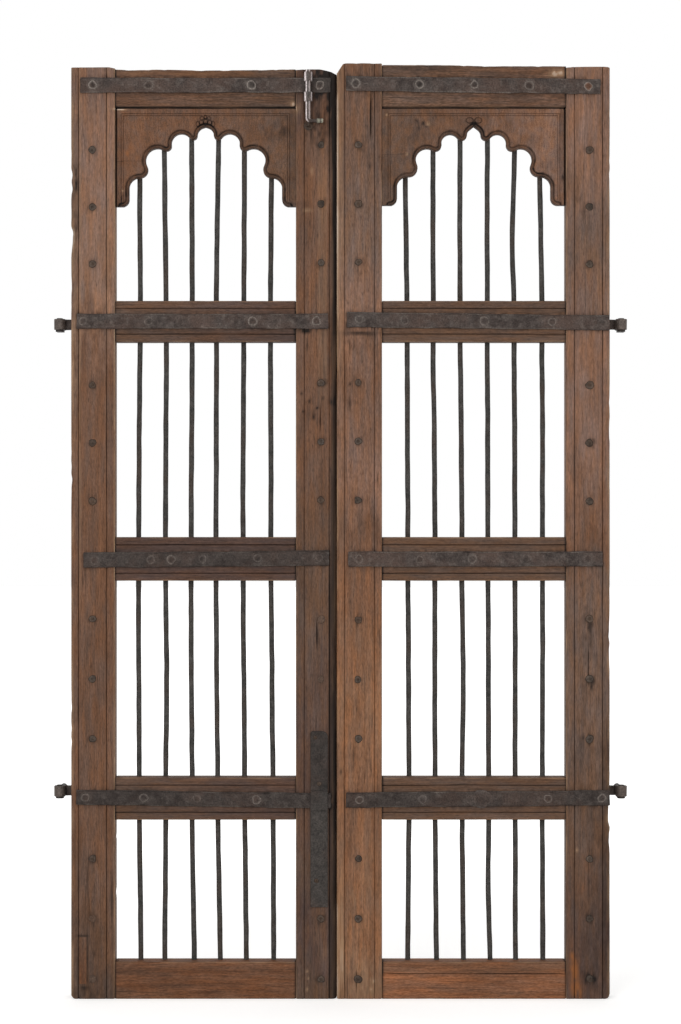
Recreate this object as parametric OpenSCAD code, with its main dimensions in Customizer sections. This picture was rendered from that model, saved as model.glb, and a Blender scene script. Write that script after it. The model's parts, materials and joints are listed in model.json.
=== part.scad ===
// Double gate of old teak: two framed leaves with round iron bars, cusped arch boards,
// nailed iron straps, back hinge straps with rolled eyes, and four iron wall pintles.
// Millimetres, +Z up. The origin lies on the ground line, midway between the two hinge axes.

/* [Leaves] */
// Width of the left leaf
left_leaf_w = 596; // [560:1:660]
// Width of the right leaf
right_leaf_w = 614; // [560:1:660]
// Thickness of the stiles and rails
leaf_t = 50; // [46:1:60]
// Gap between the two meeting stiles
meeting_gap = 3; // [2:0.5:8]
// How far the slanted meeting edges lap, so that no daylight shows between the closed leaves
sight_lap = 0.9; // [0.2:0.1:1]

/* [Stiles] */
// Width of the stiles on the hinge side
hinge_stile_w = 99; // [90:1:120]
// Width of the left leaf's meeting stile
left_meeting_stile_w = 90; // [84:1:110]
// Width of the right leaf's meeting stile
right_meeting_stile_w = 101; // [84:1:110]
// Width of the bead along the outer edge of a stile and along the edges of a rail
bead_w = 17; // [12:0.5:22]
// Width of the bead along the inner edge of a stile
inner_bead_w = 19; // [12:0.5:24]
// Width of the scratched groove beside a bead
groove_w = 3; // [1.5:0.5:5]
// Depth of that groove
groove_d = 2; // [1:0.25:3]
// Radius of the worn outer edge of a stile
worn_r = 6; // [3:0.5:9]
// Radius of the rounded nose of the left meeting stile
nose_r = 11; // [6:0.5:14]
// Radius of the edges that face the lights
arris_r = 2; // [1:0.5:4]
// Length of the worn top corner of the left meeting stile
left_corner_run = 36; // [20:1:60]
// Drop of that corner
left_corner_drop = 9; // [4:1:20]
// Length of the broken top corner of the right meeting stile
right_corner_run = 13; // [4:1:20]
// Drop of that corner
right_corner_drop = 20; // [8:1:40]
// Radius of the worn foot of the right hinge stile
foot_corner_r = 12; // [6:1:20]
// Height of the left hinge stile above its top rail
left_horn = 5; // [0:1:12]
// Height of the right meeting stile above its top rail
right_horn = 4; // [0:1:12]
// Drop of the worn top of the right hinge stile below its top rail
right_worn_top = 4; // [0:1:6]

/* [Rails and lights] */
// Height of the bottom rails
bottom_rail_h = 83; // [70:1:110]
// Height of the lower rails
lower_rail_h = 95; // [80:1:120]
// Height of the middle rails
middle_rail_h = 98; // [80:1:120]
// Height of the upper rails
upper_rail_h = 92; // [80:1:120]
// Height of the left leaf's top rail
left_top_rail_h = 86; // [76:1:110]
// Height of the right leaf's top rail
right_top_rail_h = 96; // [76:1:110]
// Height of the lowest light
bottom_light_h = 320; // [280:1:400]
// Height of the light under the middle rail
lower_light_h = 443; // [400:1:500]
// Height of the light above the middle rail
upper_light_h = 440; // [400:1:500]
// Height of the top light with its arch
top_light_h = 435; // [400:1:500]

/* [Joinery] */
// Length of the rail tenons
tenon_l = 55; // [40:1:64]
// Thickness of the rail tenons
tenon_t = 17; // [12:0.5:20]
// Shoulder above and below each tenon
tenon_shoulder = 15; // [10:0.5:20]
// Clearance round each tenon and tongue
joint_clearance = 0.3; // [0.1:0.05:0.6]

/* [Arch boards] */
// Height of the left arch board
left_arch_h = 222; // [210:1:260]
// Height of the right arch board
right_arch_h = 219; // [210:1:260]
// Thickness of the arch boards
arch_t = 22; // [18:0.5:24]
// Set-back of the arch boards from the front of the leaf
arch_setback = 3; // [1:0.5:5]
// Depth of the tongues that sit in the stiles
tongue_d = 8; // [5:0.5:12]
// Thickness of those tongues
tongue_t = 10; // [6:0.5:12]
// Rounding of the cusps beside the middle lobe, beyond the narrowest nose
upper_cusp_ease = 1.4; // [0.8:0.1:3]
// Rounding of the cusps below those
middle_cusp_ease = 3.5; // [2:0.1:5]
// Rounding of the lowest cusps
lower_cusp_ease = 6; // [4:0.1:8]
// Rise of the left arch's apex above its middle lobe
left_apex_rise = 1; // [0.5:0.5:5]
// Rise of the right arch's more pointed apex
right_apex_rise = 4; // [2:0.5:8]
// Radius of the foot of the arch
foot_r = 16; // [12:0.5:24]
// Width of the bead along the arch
arch_bead_w = 6; // [4:0.5:9]
// Width of the carved line beside that bead
arch_line_w = 2.5; // [1.5:0.25:4]
// Depth of the carved lines
arch_line_d = 1.8; // [0.8:0.1:3]
// Distance of the double border line from the edge of the board
border_in = 12.5; // [10:0.5:20]
// Width of each border line
border_line_w = 1.8; // [1:0.1:3]
// Distance between the two border lines
border_pitch = 4.5; // [3.5:0.25:7]

/* [Bars] */
// Diameter of the round iron bars
bar_d = 11; // [8:0.5:12]
// Number of bars in each leaf
bar_count = 6; // [6]
// Depth of the bar ends in the top and bottom rails
bar_end = 35; // [25:1:50]
// Radial clearance of a bar in its holes
bar_clearance = 0.6; // [0.3:0.1:1]
// One step of the sideways drift of the hand-fitted bars
drift_step = 1; // [0:0.1:1.3]
// Gap between the bars and the back of the arch board
bar_gap = 3; // [2.75:0.25:5]

/* [Straps] */
// Width of the front straps
strap_w = 34; // [28:0.5:40]
// Thickness of the front straps
strap_t = 5; // [3:0.5:7]
// Height of the top straps above the middle of the left top rail
top_strap_rise = 7; // [0:1:10]

/* [Nails] */
// Radius of the forged nail heads
nail_head_r = 8.5; // [6:0.25:10]
// Height of the nail heads
nail_head_h = 3.5; // [2:0.25:5]
// Thickness of the square nail shanks
nail_t = 5; // [3:0.25:6]
// Depth of the nails in the wood
nail_depth = 14; // [10:0.5:15]
// Clearance round each shank
nail_clearance = 0.15; // [0.05:0.05:0.3]

/* [Hinges] */
// Distance of the hinge axis from the edge of the leaf
hinge_offset = 30; // [24:1:40]
// Outer radius of the rolled eyes
eye_r = 13; // [12:0.5:16]
// Height of the eyes and the back straps
eye_h = 25; // [20:0.5:32]
// Radius of the pintle pins
pin_r = 6.6; // [5.5:0.1:8]
// Radial clearance of an eye on its pin
pin_clearance = 0.4; // [0.3:0.05:0.8]
// Thickness of the back straps
hinge_strap_t = 6; // [4:0.5:8]
// Length of the back straps on the leaf
hinge_strap_l = 420; // [300:5:460]
// Height of the lower back straps above the front straps
lower_hinge_rise = 13; // [0:1:20]
// Height of the upper back straps above the front straps
upper_hinge_rise = -4; // [-12:1:12]
// Height of the collar under each eye
collar_h = 4; // [4:0.5:8]
// Height of a pin above its eye
pin_top = 1.5; // [1:0.5:6]
// Radius of the spikes that go into the wall
spike_r = 8; // [6:0.5:10]
// Length of those spikes
spike_l = 60; // [50:1:64]
// Thickness of the crank behind each eye
crank_t = 12; // [10:0.5:16]
// Gap between an eye and its crank
crank_gap = 1.5; // [1:0.25:3]

/* [Bolt] */
// Radius of the bolt rod
rod_r = 6; // [5:0.25:7]
// Distance of the rod from the edge of the left meeting stile
bolt_inset = 62; // [58:1:66]
// Wall of the staple rings
ring_wall = 2.6; // [2:0.1:4]
// Height of the staple rings
ring_h = 20; // [16:0.5:24]
// Radial clearance of the rod in the rings
rod_clearance = 0.4; // [0.3:0.05:0.8]
// Length of the rod
rod_l = 124; // [118:1:130]
// Reach of the handle
handle_l = 34; // [28:1:38]
// Radius of the handle
handle_r = 4; // [3:0.25:5]
// Radius of the handle's knob
knob_r = 5.5; // [4.5:0.25:6]
// Radius of the spikes of the staples and of the stop nail
staple_r = 3.2; // [2.5:0.1:4]
// Radius of the flat rose round the stop nail
stop_rose_r = 10; // [6:0.5:12]
// Thickness of that rose
stop_rose_t = 2.5; // [1.5:0.25:4]
// Gap between the bolt and what it lies on
bolt_gap = 0.3; // [0.2:0.05:0.6]

/* [Plate and patch] */
// Width of the long plate on the left meeting stile
plate_w = 39; // [34:0.5:42]
// Distance of the plate from the edge of the stile
plate_inset = 18; // [16:0.5:22]
// Thickness of the plate
plate_t = 4; // [3:0.25:6]
// Height of the plate's lower end
plate_z = 207; // [190:1:230]
// Length of the plate
plate_l = 396; // [360:1:420]
// Radius of the plate's upper corner on the meeting side
plate_round = 14; // [8:1:20]
// Radius of its other upper corner
plate_ease = 5; // [2:1:12]
// Distance of the top nail from the plate's upper end
plate_nail_top = 14; // [12:1:24]
// Distance of the lowest nail from the plate's lower end
plate_nail_low = 60; // [30:1:100]
// Width of the wooden patch let into the left hinge stile
patch_w = 16; // [10:1:18]
// Depth of that patch
patch_d = 8; // [4:0.5:12]
// Height of that patch
patch_h = 105; // [80:1:140]
// Height of the patch's lower end
patch_z = 34; // [20:1:60]
// Clearance round the patch
patch_clearance = 0.2; // [0.1:0.05:0.4]

/* [Hidden] */
$fn = 32;
left = 0;
right = 1;
eps = 1;
bore_steps = 10;
wood = "#6f5544";
pale_wood = "#84694f";
iron = "#4a4543";
steel = "#77716c";

front = -leaf_t / 2;
back = leaf_t / 2;
half_span = (left_leaf_w + right_leaf_w + meeting_gap) / 2 + hinge_offset;
leaf_y = eye_r - hinge_strap_t - back;
function leaf_w(s) = s == left ? left_leaf_w : right_leaf_w;
function meeting_w(s) = s == left ? left_meeting_stile_w : right_meeting_stile_w;
function light_w(s) = leaf_w(s) - hinge_stile_w - meeting_w(s);
function pitch(s) = light_w(s) / (bar_count + 1);

// Rails are counted from the ground: bottom, lower, middle, upper, top
function rail_h(s) = [bottom_rail_h, lower_rail_h, middle_rail_h, upper_rail_h,
    s == left ? left_top_rail_h : right_top_rail_h];
light_h = [bottom_light_h, lower_light_h, upper_light_h, top_light_h];
function rail_z(i) = i == 0 ? 0 : rail_z(i - 1) + rail_h(left)[i - 1] + light_h[i - 1];
function rail_top(s, i) = rail_z(i) + rail_h(s)[i];
function leaf_h(s) = rail_top(s, 4);

// Straps lie on the lower, middle, upper and top rails, level with each other; angles as nailed, in degrees
function strap_z(i) = rail_z(i + 1) + rail_h(left)[i + 1] / 2 + (i == 3 ? top_strap_rise : 0);
strap_tilt = [[-0.8, 0.5, 0, 0], [-0.5, 0, 0.7, 0.7]];
// Bare wood left at the hinge side and at the meeting side of each strap
strap_start = [[13, 29, 13, 22], [1, 17, 1, 22]];
strap_stop = [[11, 15, 17, 12], [20, 25, 22, 20]];
function strap_mid(s, i) = (strap_start[s][i] + leaf_w(s) - strap_stop[s][i]) / 2;
function strap_l(s, i) = leaf_w(s) - strap_start[s][i] - strap_stop[s][i];
// Nails along each strap, as shares of the leaf's width from the hinge side
strap_nail = [
    [[0.057, 0.275, 0.476, 0.702], [0.091, 0.302, 0.38, 0.498, 0.706, 0.936],
     [0.045, 0.294, 0.414, 0.686, 0.928], [0.083, 0.294, 0.683, 0.94]],
    [[0.03, 0.228, 0.454, 0.512, 0.686, 0.919], [0.08, 0.311, 0.505, 0.699, 0.919],
     [0.03, 0.212, 0.461, 0.754, 0.919], [0.08, 0.296, 0.498, 0.699, 0.933]]];
function strap_nail_at(s, i, k) = let (u = strap_nail[s][i][k] * leaf_w(s))
    [u, strap_z(i) + (u - strap_mid(s, i)) * tan(strap_tilt[s][i])];

// Stile nails, hinge stile then meeting stile: three below the lowest strap and three between straps,
// at shares of the way from one strap to the next
stud_first = 0.1;
stud_step = 0.3;
stud_pitch = [[0.25, 0.244, 0.242], [0.249, 0.247, 0.249]];
// Distance of each row of nails from the edge of the leaf, as a share of the stile's width
stud_across = [[0.49, 0.37], [0.465, 0.47]];
function stud_share(c, i, k) = i == 0 ? stud_first + k * stud_step : (k + 1) * stud_pitch[c][i - 1];
function stud_z(c, i, k) = let (from = i == 0 ? 0 : strap_z(i - 1))
    from + (strap_z(i) - from) * stud_share(c, i, k);
function bare(z) = z < plate_z - nail_head_r || z > plate_z + plate_l + nail_head_r;
function hinge_studs(s) = [for (i = [0:3]) for (k = [0:2])
    [hinge_stile_w * stud_across[s][0], stud_z(0, i, k)]];
function meeting_studs(s) = [for (i = [0:3]) for (k = [0:2]) if (s == right || bare(stud_z(1, i, k)))
    [leaf_w(s) - meeting_w(s) * stud_across[s][1], stud_z(1, i, k)]];

// Hinge straps on the back of the upper and lower rails, nailed in the stile and between the bars
function hinge_z(i) = strap_z(i) + (i == 0 ? lower_hinge_rise : upper_hinge_rise);
function hinge_nail_us(s) = [hinge_stile_w / 2, for (k = [0:bar_count]) if (k % 2 == 0)
    hinge_stile_w + (k + 0.5) * pitch(s)];
function hinge_nails(s) = [for (i = [0, 2]) for (u = hinge_nail_us(s))
    if (u < hinge_strap_l - 2 * nail_head_r) [u, hinge_z(i)]];

// Drift of each bar, in steps, at the bottom, lower, middle, upper and top rail
bar_drift = [
    [[-2, -6, -8, -4, -5], [-6, -5, -5, -3, -9], [2, -3, -5, -3, -4],
     [3, -3, -7, -6, 0], [4, 0, -4, -2, 0], [8, 6, 1, 0, 3]],
    [[-9, -9, -9, -8, 1], [-7, -6, -6, -4, -7], [-9, -6, -4, -2, -2],
     [-7, -4, -4, 0, 1], [-5, -2, -2, 2, 3], [1, -3, 0, 2, 9]]];
// Bends inside a light: leaf, bar, light, share of the light's height, steps sideways
bar_bends = [[right, 1, 3, 0.25, 7], [right, 2, 0, 0.6, 4], [right, 3, 1, 0.5, -3], [left, 1, 1, 0.5, 3]];
function bend_hits(s, b, i) = [for (k = bar_bends) if (k[0] == s && k[1] == b && k[2] == i) k];
function bend_at(s, b, i) = let (hit = bend_hits(s, b, i)) len(hit) > 0 ? hit[0][3] : 0.5;
function bend(s, b, i) = let (hit = bend_hits(s, b, i)) len(hit) > 0 ? hit[0][4] * drift_step : 0;
bar_y = front + arch_setback + arch_t + bar_gap + bar_d / 2;
function bar_u(s, b, i) = hinge_stile_w + pitch(s) * (b + 1) + bar_drift[s][b][i] * drift_step;

arch_front = front + arch_setback;
function arch_h(s) = s == left ? left_arch_h : right_arch_h;
function arch_z(s) = rail_z(4) - arch_h(s);
tongue_y = arch_front + (arch_t - tongue_t) / 2;

bolt_u = left_leaf_w - bolt_inset;
ring_r = rod_r + rod_clearance + ring_wall;
rod_y = front - strap_t - bolt_gap - ring_r;
upper_ring_z = strap_z(3) + strap_w / 2;
lower_ring_z = strap_z(3) - strap_w / 2 - ring_h / 2 - eps;
upper_spike_z = upper_ring_z + staple_r + 2 * eps;
rod_top = leaf_h(left);
rod_bottom = rod_top - rod_l;
stop_z = rod_bottom - bolt_gap - staple_r;

// Sets a leaf in place; inside, u runs from the hinge edge to the meeting edge along +X
module place(s) {
    mirror([s == right ? 1 : 0, 0, 0])
        translate([hinge_offset - half_span, leaf_y, 0])
            children();
}

function arc(c, r, from, to, n) = [for (i = [0:n]) let (a = from + (to - from) * i / n)
    c + r * [cos(a), sin(a)]];
function vee(u, y) = [[u - groove_w / 2, y], [u, y + groove_d], [u + groove_w / 2, y]];

// Plan of a stile: worn front edges, a scratched groove beside each bead, and a slanted far edge
function stile_plan(w, r_start, r_end, bead_start, bead_end, slant) = concat(
    arc([r_start, front + r_start], r_start, 180, 270, 4),
    vee(bead_start, front),
    vee(w - bead_end, front),
    arc([w - r_end, front + r_end], r_end, 270, 360, 4),
    [[w + slant, back], [0, back]]);

// Section of a rail, depth across and height up, with a groove beside each bead of the beaded ones
function rail_section(h, beaded) = concat(
    [[front + arris_r, 0], [back, 0], [back, h], [front + arris_r, h], [front, h - arris_r]],
    [if (beaded) for (z = [h - bead_w, bead_w]) each [[front, z + groove_w / 2], [front + groove_d, z],
        [front, z - groove_w / 2]]],
    [[front, arris_r]]);

module nail_holes(points, y, depth) {
    side = nail_t + 2 * nail_clearance;
    for (p = points)
        translate([p[0] - side / 2, y, p[1] - side / 2])
            cube([side, depth, side]);
}

// Every hole that the front and back nails make in the wood of a leaf
module wood_holes(s) {
    for (i = [0:3])
        nail_holes([for (k = [0:len(strap_nail[s][i]) - 1]) strap_nail_at(s, i, k)], front - eps,
            nail_depth + 2 * eps);
    nail_holes(concat(hinge_studs(s), meeting_studs(s)), front - eps, nail_depth + 2 * eps);
    nail_holes(hinge_nails(s), back - nail_depth - eps, nail_depth + 2 * eps);
}

// A forged nail along +Y from its head at y = 0, with the shank that many deep
module nail(depth) {
    rotate([90, 0, 0]) {
        cylinder(r1 = nail_head_r, r2 = nail_head_r * 0.8, h = nail_head_h / 2);
        translate([0, 0, nail_head_h / 2])
            cylinder(r1 = nail_head_r * 0.8, r2 = nail_head_r * 0.35, h = nail_head_h / 2);
    }
    translate([-nail_t / 2, 0, -nail_t / 2])
        cube([nail_t, depth, nail_t]);
}

module mortises(s, u) {
    for (i = [0:4]) {
        h = rail_h(s)[i] - 2 * tenon_shoulder + 2 * joint_clearance;
        translate([u, -tenon_t / 2 - joint_clearance, rail_z(i) + tenon_shoulder - joint_clearance])
            cube([tenon_l + eps, tenon_t + 2 * joint_clearance, h]);
    }
}

// Groove for a tongue of the arch board
module tongue_slot(s, u) {
    translate([u, tongue_y - joint_clearance, arch_z(s) - joint_clearance])
        cube([tongue_d + eps, tongue_t + 2 * joint_clearance, arch_h(s) + 2 * joint_clearance]);
}

module hinge_stile(s) {
    color(wood) place(s)
        difference() {
            linear_extrude(leaf_h(s) + (s == left ? left_horn : -right_worn_top))
                polygon(stile_plan(hinge_stile_w, worn_r, arris_r, bead_w, inner_bead_w, 0));
            mortises(s, hinge_stile_w - tenon_l - eps);
            tongue_slot(s, hinge_stile_w - tongue_d - eps);
            wood_holes(s);
            if (s == left)
                patch_block(patch_clearance);
            else
                foot_corner();
        }
}

// Wood worn away at the outer corner of a foot
module foot_corner() {
    r = foot_corner_r;
    translate([0, leaf_t, 0])
        rotate([90, 0, 0])
            linear_extrude(2 * leaf_t)
                polygon(concat([[-eps, -eps], [-eps, r]], arc([r, r], r, 180, 270, 9), [[r, -eps]]));
}

module meeting_stile(s) {
    w = meeting_w(s);
    h = leaf_h(s) + (s == left ? 0 : right_horn);
    slant = (s == left ? 1 : -1) * (meeting_gap + sight_lap);
    run = s == left ? left_corner_run : right_corner_run;
    drop = s == left ? left_corner_drop : right_corner_drop;
    color(wood) place(s)
        difference() {
            translate([leaf_w(s) - w, 0, 0])
                linear_extrude(h)
                    polygon(stile_plan(w, arris_r, s == left ? nose_r : worn_r, inner_bead_w, bead_w, slant));
            mortises(s, leaf_w(s) - w);
            tongue_slot(s, leaf_w(s) - w);
            wood_holes(s);
            translate([leaf_w(s), leaf_t, h])
                rotate([90, 0, 0])
                    linear_extrude(2 * leaf_t)
                        polygon([[-run, 0], [0, -drop], [abs(slant) + eps, -drop], [abs(slant) + eps, eps],
                            [-run, eps]]);
            if (s == left) {
                for (z = [upper_spike_z, lower_ring_z, stop_z])
                    staple_spike(z, front - eps, staple_r + nail_clearance, eps);
                nail_holes(plate_nail_points, front - eps, nail_depth + 2 * eps);
            }
        }
}

module rail(s, i) {
    h = rail_h(s)[i];
    bore_l = i == 0 || i == 4 ? bar_end : h;
    color(wood) place(s)
        difference() {
            union() {
                translate([hinge_stile_w, 0, rail_z(i)])
                    rotate([90, 0, 90])
                        linear_extrude(light_w(s))
                            polygon(rail_section(h, i > 0 && i < 4));
                translate([hinge_stile_w - tenon_l, -tenon_t / 2, rail_z(i) + tenon_shoulder])
                    cube([light_w(s) + 2 * tenon_l, tenon_t, h - 2 * tenon_shoulder]);
            }
            for (b = [0:bar_count - 1])
                translate([bar_u(s, b, i), bar_y, rail_z(i) + (i == 0 ? h - bar_end - eps : -eps)])
                    cylinder(r = bar_d / 2 + bar_clearance, h = bore_l + 2 * eps);
            wood_holes(s);
        }
}

// Arch outline: four lobes on each side of the middle, each with its centre and radius.
// Lobes stand over the spaces between the bars, so the cusps meet the bars; the right board's are narrower.
lobe_step = [[0, 0.937, 1.858, 2.563], [0, 0.9, 1.79, 2.53]];
lobe_rise = [0.722, 0.64, 0.469, 0.188];
lobe_size = [[0.318, 0.387, 0.464, 0.401], [0.262, 0.335, 0.423, 0.397]];
cusp_ease = [upper_cusp_ease, middle_cusp_ease, lower_cusp_ease];
function apex_rise(s) = s == left ? left_apex_rise : right_apex_rise;
// Angle at which the middle lobe's round runs into its apex, and how fast a line inside it steps up there
apex_angle = [78, 55];
apex_ease = [1.05, 1.25];
function lobe_c(s, i) = [lobe_step[s][i] * pitch(s), lobe_rise[i] * arch_h(s)];
function lobe_r(s, i) = lobe_size[s][i] * pitch(s);
function nose(s, i) = max(0, (norm(lobe_c(s, i + 1) - lobe_c(s, i))
    - lobe_r(s, i) - lobe_r(s, i + 1)) / 2) + cusp_ease[i];
// Point at the given distances from two centres, on the upper side
function meet(a, ra, b, rb) = let (
    d = norm(b - a),
    e = (b - a) / d,
    along = (ra * ra - rb * rb + d * d) / (2 * d),
    up = sqrt(max(0, ra * ra - along * along)))
    a + along * e + up * [-e[1], e[0]];
function nose_c(s, i, t) = let (r = max(nose(s, i), t))
    meet(lobe_c(s, i), lobe_r(s, i) + r, lobe_c(s, i + 1), lobe_r(s, i + 1) + r);
function angle(v) = atan2(v[1], v[0]);
function below(a) = a > 0 ? a - 360 : a;

// Half of the outline, from the apex out to the foot, moved into the wood by t
function half_arch(s, t) = let (
    n = [for (i = [0:2]) nose_c(s, i, t)],
    foot_u = lobe_c(s, 3)[0] + lobe_r(s, 3) + foot_r) concat(
    [lobe_c(s, 0) + [0, lobe_r(s, 0) + apex_ease[s] * t + apex_rise(s)]],
    [for (i = [0:3]) each concat(
        arc(lobe_c(s, i), lobe_r(s, i) + t,
            i == 0 ? apex_angle[s] : angle(n[i - 1] - lobe_c(s, i)),
            i == 3 ? 0 : angle(n[i] - lobe_c(s, i)), 7),
        i < 3 && nose(s, i) > t + 0.2 ? [for (k = [1:5]) let (
            a0 = below(angle(lobe_c(s, i) - n[i])),
            a1 = below(angle(lobe_c(s, i + 1) - n[i])),
            a = a0 + (a1 - a0) * k / 6)
            n[i] + (nose(s, i) - t) * [cos(a), sin(a)]] : [])],
    arc([foot_u, foot_r], foot_r - t, 180, 270, 4),
    [[foot_u, -eps]]);
function arch_outline(s, t) = let (h = half_arch(s, t), n = len(h)) concat(
    [for (i = [n - 1:-1:1]) [-h[i][0], h[i][1]]], h);

module arch_board(s) {
    w = light_w(s);
    mid = hinge_stile_w + w / 2;
    line_t = arch_line_d;
    color(wood) place(s)
        difference() {
            union() {
                translate([mid, arch_front + arch_t, arch_z(s)])
                    rotate([90, 0, 0])
                        linear_extrude(arch_t)
                            difference() {
                                translate([-w / 2 + joint_clearance, 0])
                                    square([w - 2 * joint_clearance, arch_h(s)]);
                                polygon(arch_outline(s, 0));
                            }
                for (u = [hinge_stile_w - tongue_d, hinge_stile_w + w - foot_r / 2])
                    translate([u, tongue_y, arch_z(s)])
                        cube([tongue_d + foot_r / 2, tongue_t, arch_h(s)]);
            }
            translate([mid, arch_front + line_t, arch_z(s)])
                rotate([90, 0, 0])
                    linear_extrude(line_t + eps)
                        difference() {
                            polygon(arch_outline(s, arch_bead_w + arch_line_w));
                            polygon(arch_outline(s, arch_bead_w));
                        }
            for (k = [0, 1]) {
                in = border_in + k * border_pitch;
                translate([mid - w / 2 + in, arch_front - eps, rail_z(4) - in - border_line_w])
                    cube([w - 2 * in, arch_line_d + eps, border_line_w]);
                for (u = [mid - w / 2 + in, mid + w / 2 - in - border_line_w])
                    translate([u, arch_front - eps, arch_z(s) + foot_r / 2])
                        cube([border_line_w, arch_line_d + eps, arch_h(s) - in - foot_r / 2]);
            }
        }
}

// A round bar, upright in each rail and drifting from one rail to the next
module bar(s, b) {
    n = bore_steps;
    zs = [for (i = [0:4]) each concat(
        i == 0 ? [rail_top(s, 0) - bar_end, rail_top(s, 0)] :
        i == 4 ? [rail_z(4), rail_z(4) + bar_end] : [rail_z(i), rail_top(s, i)],
        i < 4 ? [rail_top(s, i) + (rail_z(i + 1) - rail_top(s, i)) * bend_at(s, b, i)] : [])];
    us = [for (i = [0:4]) each concat([bar_u(s, b, i), bar_u(s, b, i)],
        i < 4 ? [bar_u(s, b, i) + (bar_u(s, b, i + 1) - bar_u(s, b, i)) * bend_at(s, b, i)
            + bend(s, b, i)] : [])];
    rings = len(zs);
    color(iron) place(s)
        polyhedron(
            [for (k = [0:rings - 1]) for (i = [0:n - 1])
                [us[k] + bar_d / 2 * cos(360 * i / n), bar_y + bar_d / 2 * sin(360 * i / n), zs[k]]],
            concat(
                [[for (i = [0:n - 1]) i]],
                [[for (i = [n - 1:-1:0]) (rings - 1) * n + i]],
                [for (k = [0:rings - 2]) for (i = [0:n - 1])
                    [k * n + i, (k + 1) * n + i, (k + 1) * n + (i + 1) % n, k * n + (i + 1) % n]]));
}

module strap(s, i) {
    points = [for (k = [0:len(strap_nail[s][i]) - 1]) strap_nail_at(s, i, k)];
    color(iron) place(s)
        difference() {
            translate([strap_mid(s, i), front - strap_t, strap_z(i)])
                rotate([0, -strap_tilt[s][i], 0])
                    translate([-strap_l(s, i) / 2, 0, -strap_w / 2])
                        cube([strap_l(s, i), strap_t, strap_w]);
            nail_holes(points, front - strap_t - eps, strap_t + 2 * eps);
        }
}

module strap_nails(s) {
    color(iron) place(s)
        for (i = [0:3])
            for (k = [0:len(strap_nail[s][i]) - 1]) {
                p = strap_nail_at(s, i, k);
                translate([p[0], front - strap_t, p[1]])
                    nail(strap_t + nail_depth);
            }
}

module stile_nails(s) {
    color(iron) place(s)
        for (p = concat(hinge_studs(s), meeting_studs(s)))
            translate([p[0], front, p[1]])
                nail(nail_depth);
}

// Back strap with its end rolled into an eye round the hinge axis
module hinge(s, i) {
    color(iron) place(s)
        difference() {
            union() {
                translate([-hinge_offset, back, hinge_z(i) - eye_h / 2])
                    cube([hinge_offset + hinge_strap_l, hinge_strap_t, eye_h]);
                translate([-hinge_offset, -leaf_y, hinge_z(i) - eye_h / 2])
                    cylinder(r = eye_r, h = eye_h);
            }
            translate([-hinge_offset, -leaf_y, hinge_z(i) - eye_h / 2 - eps])
                cylinder(r = pin_r + pin_clearance, h = eye_h + 2 * eps);
            nail_holes([for (p = hinge_nails(s)) if (p[1] == hinge_z(i)) p], back - eps,
                hinge_strap_t + 2 * eps);
        }
}

module hinge_nails_set(s) {
    color(iron) place(s)
        for (p = hinge_nails(s))
            translate([p[0], back + hinge_strap_t, p[1]])
                rotate([0, 0, 180])
                    nail(hinge_strap_t + nail_depth);
}

// Wall pintle: a pin on a collar, cranked round behind the eye to a spike
module pintle(s, i) {
    low = hinge_z(i) - eye_h / 2;
    crank_y = eye_r + crank_gap;
    color(iron) place(s)
        translate([-hinge_offset, -leaf_y, 0]) {
            translate([0, 0, low - collar_h])
                cylinder(r = pin_r, h = collar_h + eye_h + pin_top);
            translate([0, 0, low - collar_h])
                cylinder(r = spike_r + eps, h = collar_h);
            translate([-spike_r, 0, low - collar_h])
                cube([2 * spike_r, crank_y + crank_t, collar_h]);
            translate([-spike_r, crank_y, low - collar_h])
                cube([2 * spike_r, crank_t, collar_h + eye_h / 2 + spike_r]);
            translate([0, crank_y + crank_t - eps, hinge_z(i)])
                rotate([-90, 0, 0])
                    cylinder(r = spike_r, h = spike_l + eps);
        }
}

module staple_spike(z, from, r, more) {
    translate([bolt_u, from, z])
        rotate([-90, 0, 0])
            cylinder(r = r, h = front + nail_depth + more - from);
}

module bolt_staples() {
    spikes = [[upper_ring_z, upper_spike_z], [lower_ring_z, lower_ring_z]];
    color(steel) place(left)
        for (k = spikes)
            difference() {
                union() {
                    translate([bolt_u, rod_y, k[0] - ring_h / 2])
                        cylinder(r = ring_r, h = ring_h);
                    staple_spike(k[1], rod_y + rod_r, staple_r, 0);
                }
                translate([bolt_u, rod_y, k[0] - ring_h / 2 - eps])
                    cylinder(r = rod_r + rod_clearance, h = ring_h + 2 * eps);
            }
}

// Nail under the rod, on which the lowered bolt stands, with a flat rose on the wood
module bolt_stop() {
    color(iron) place(left) {
        staple_spike(stop_z, rod_y - rod_r, staple_r, 0);
        translate([bolt_u, front, stop_z])
            rotate([90, 0, 0])
                cylinder(r = stop_rose_r, h = stop_rose_t);
    }
}

module bolt_rod() {
    color(steel) place(left)
        translate([bolt_u, rod_y, rod_bottom]) {
            cylinder(r = rod_r, h = rod_l);
            translate([0, 0, rod_r])
                rotate([0, 90, 0]) {
                    cylinder(r = handle_r, h = handle_l);
                    translate([0, 0, handle_l / 2])
                        cylinder(r = knob_r, h = handle_l / 2);
                }
        }
}

plate_u = left_leaf_w - plate_inset - plate_w;
plate_nail_points = [
    [plate_u + plate_w * 0.28, plate_z + plate_l - plate_nail_top],
    [plate_u + plate_w * 0.5, strap_z(0) + strap_w],
    [plate_u + plate_w * 0.35, plate_z + plate_nail_low]];

// Outline of the plate above the strap, of the given height, with rounded upper corners
function plate_head(h) = concat([[0, 0], [plate_w, 0]],
    arc([plate_w - plate_round, h - plate_round], plate_round, 0, 90, 6),
    arc([plate_ease, h - plate_ease], plate_ease, 90, 180, 4));

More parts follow.
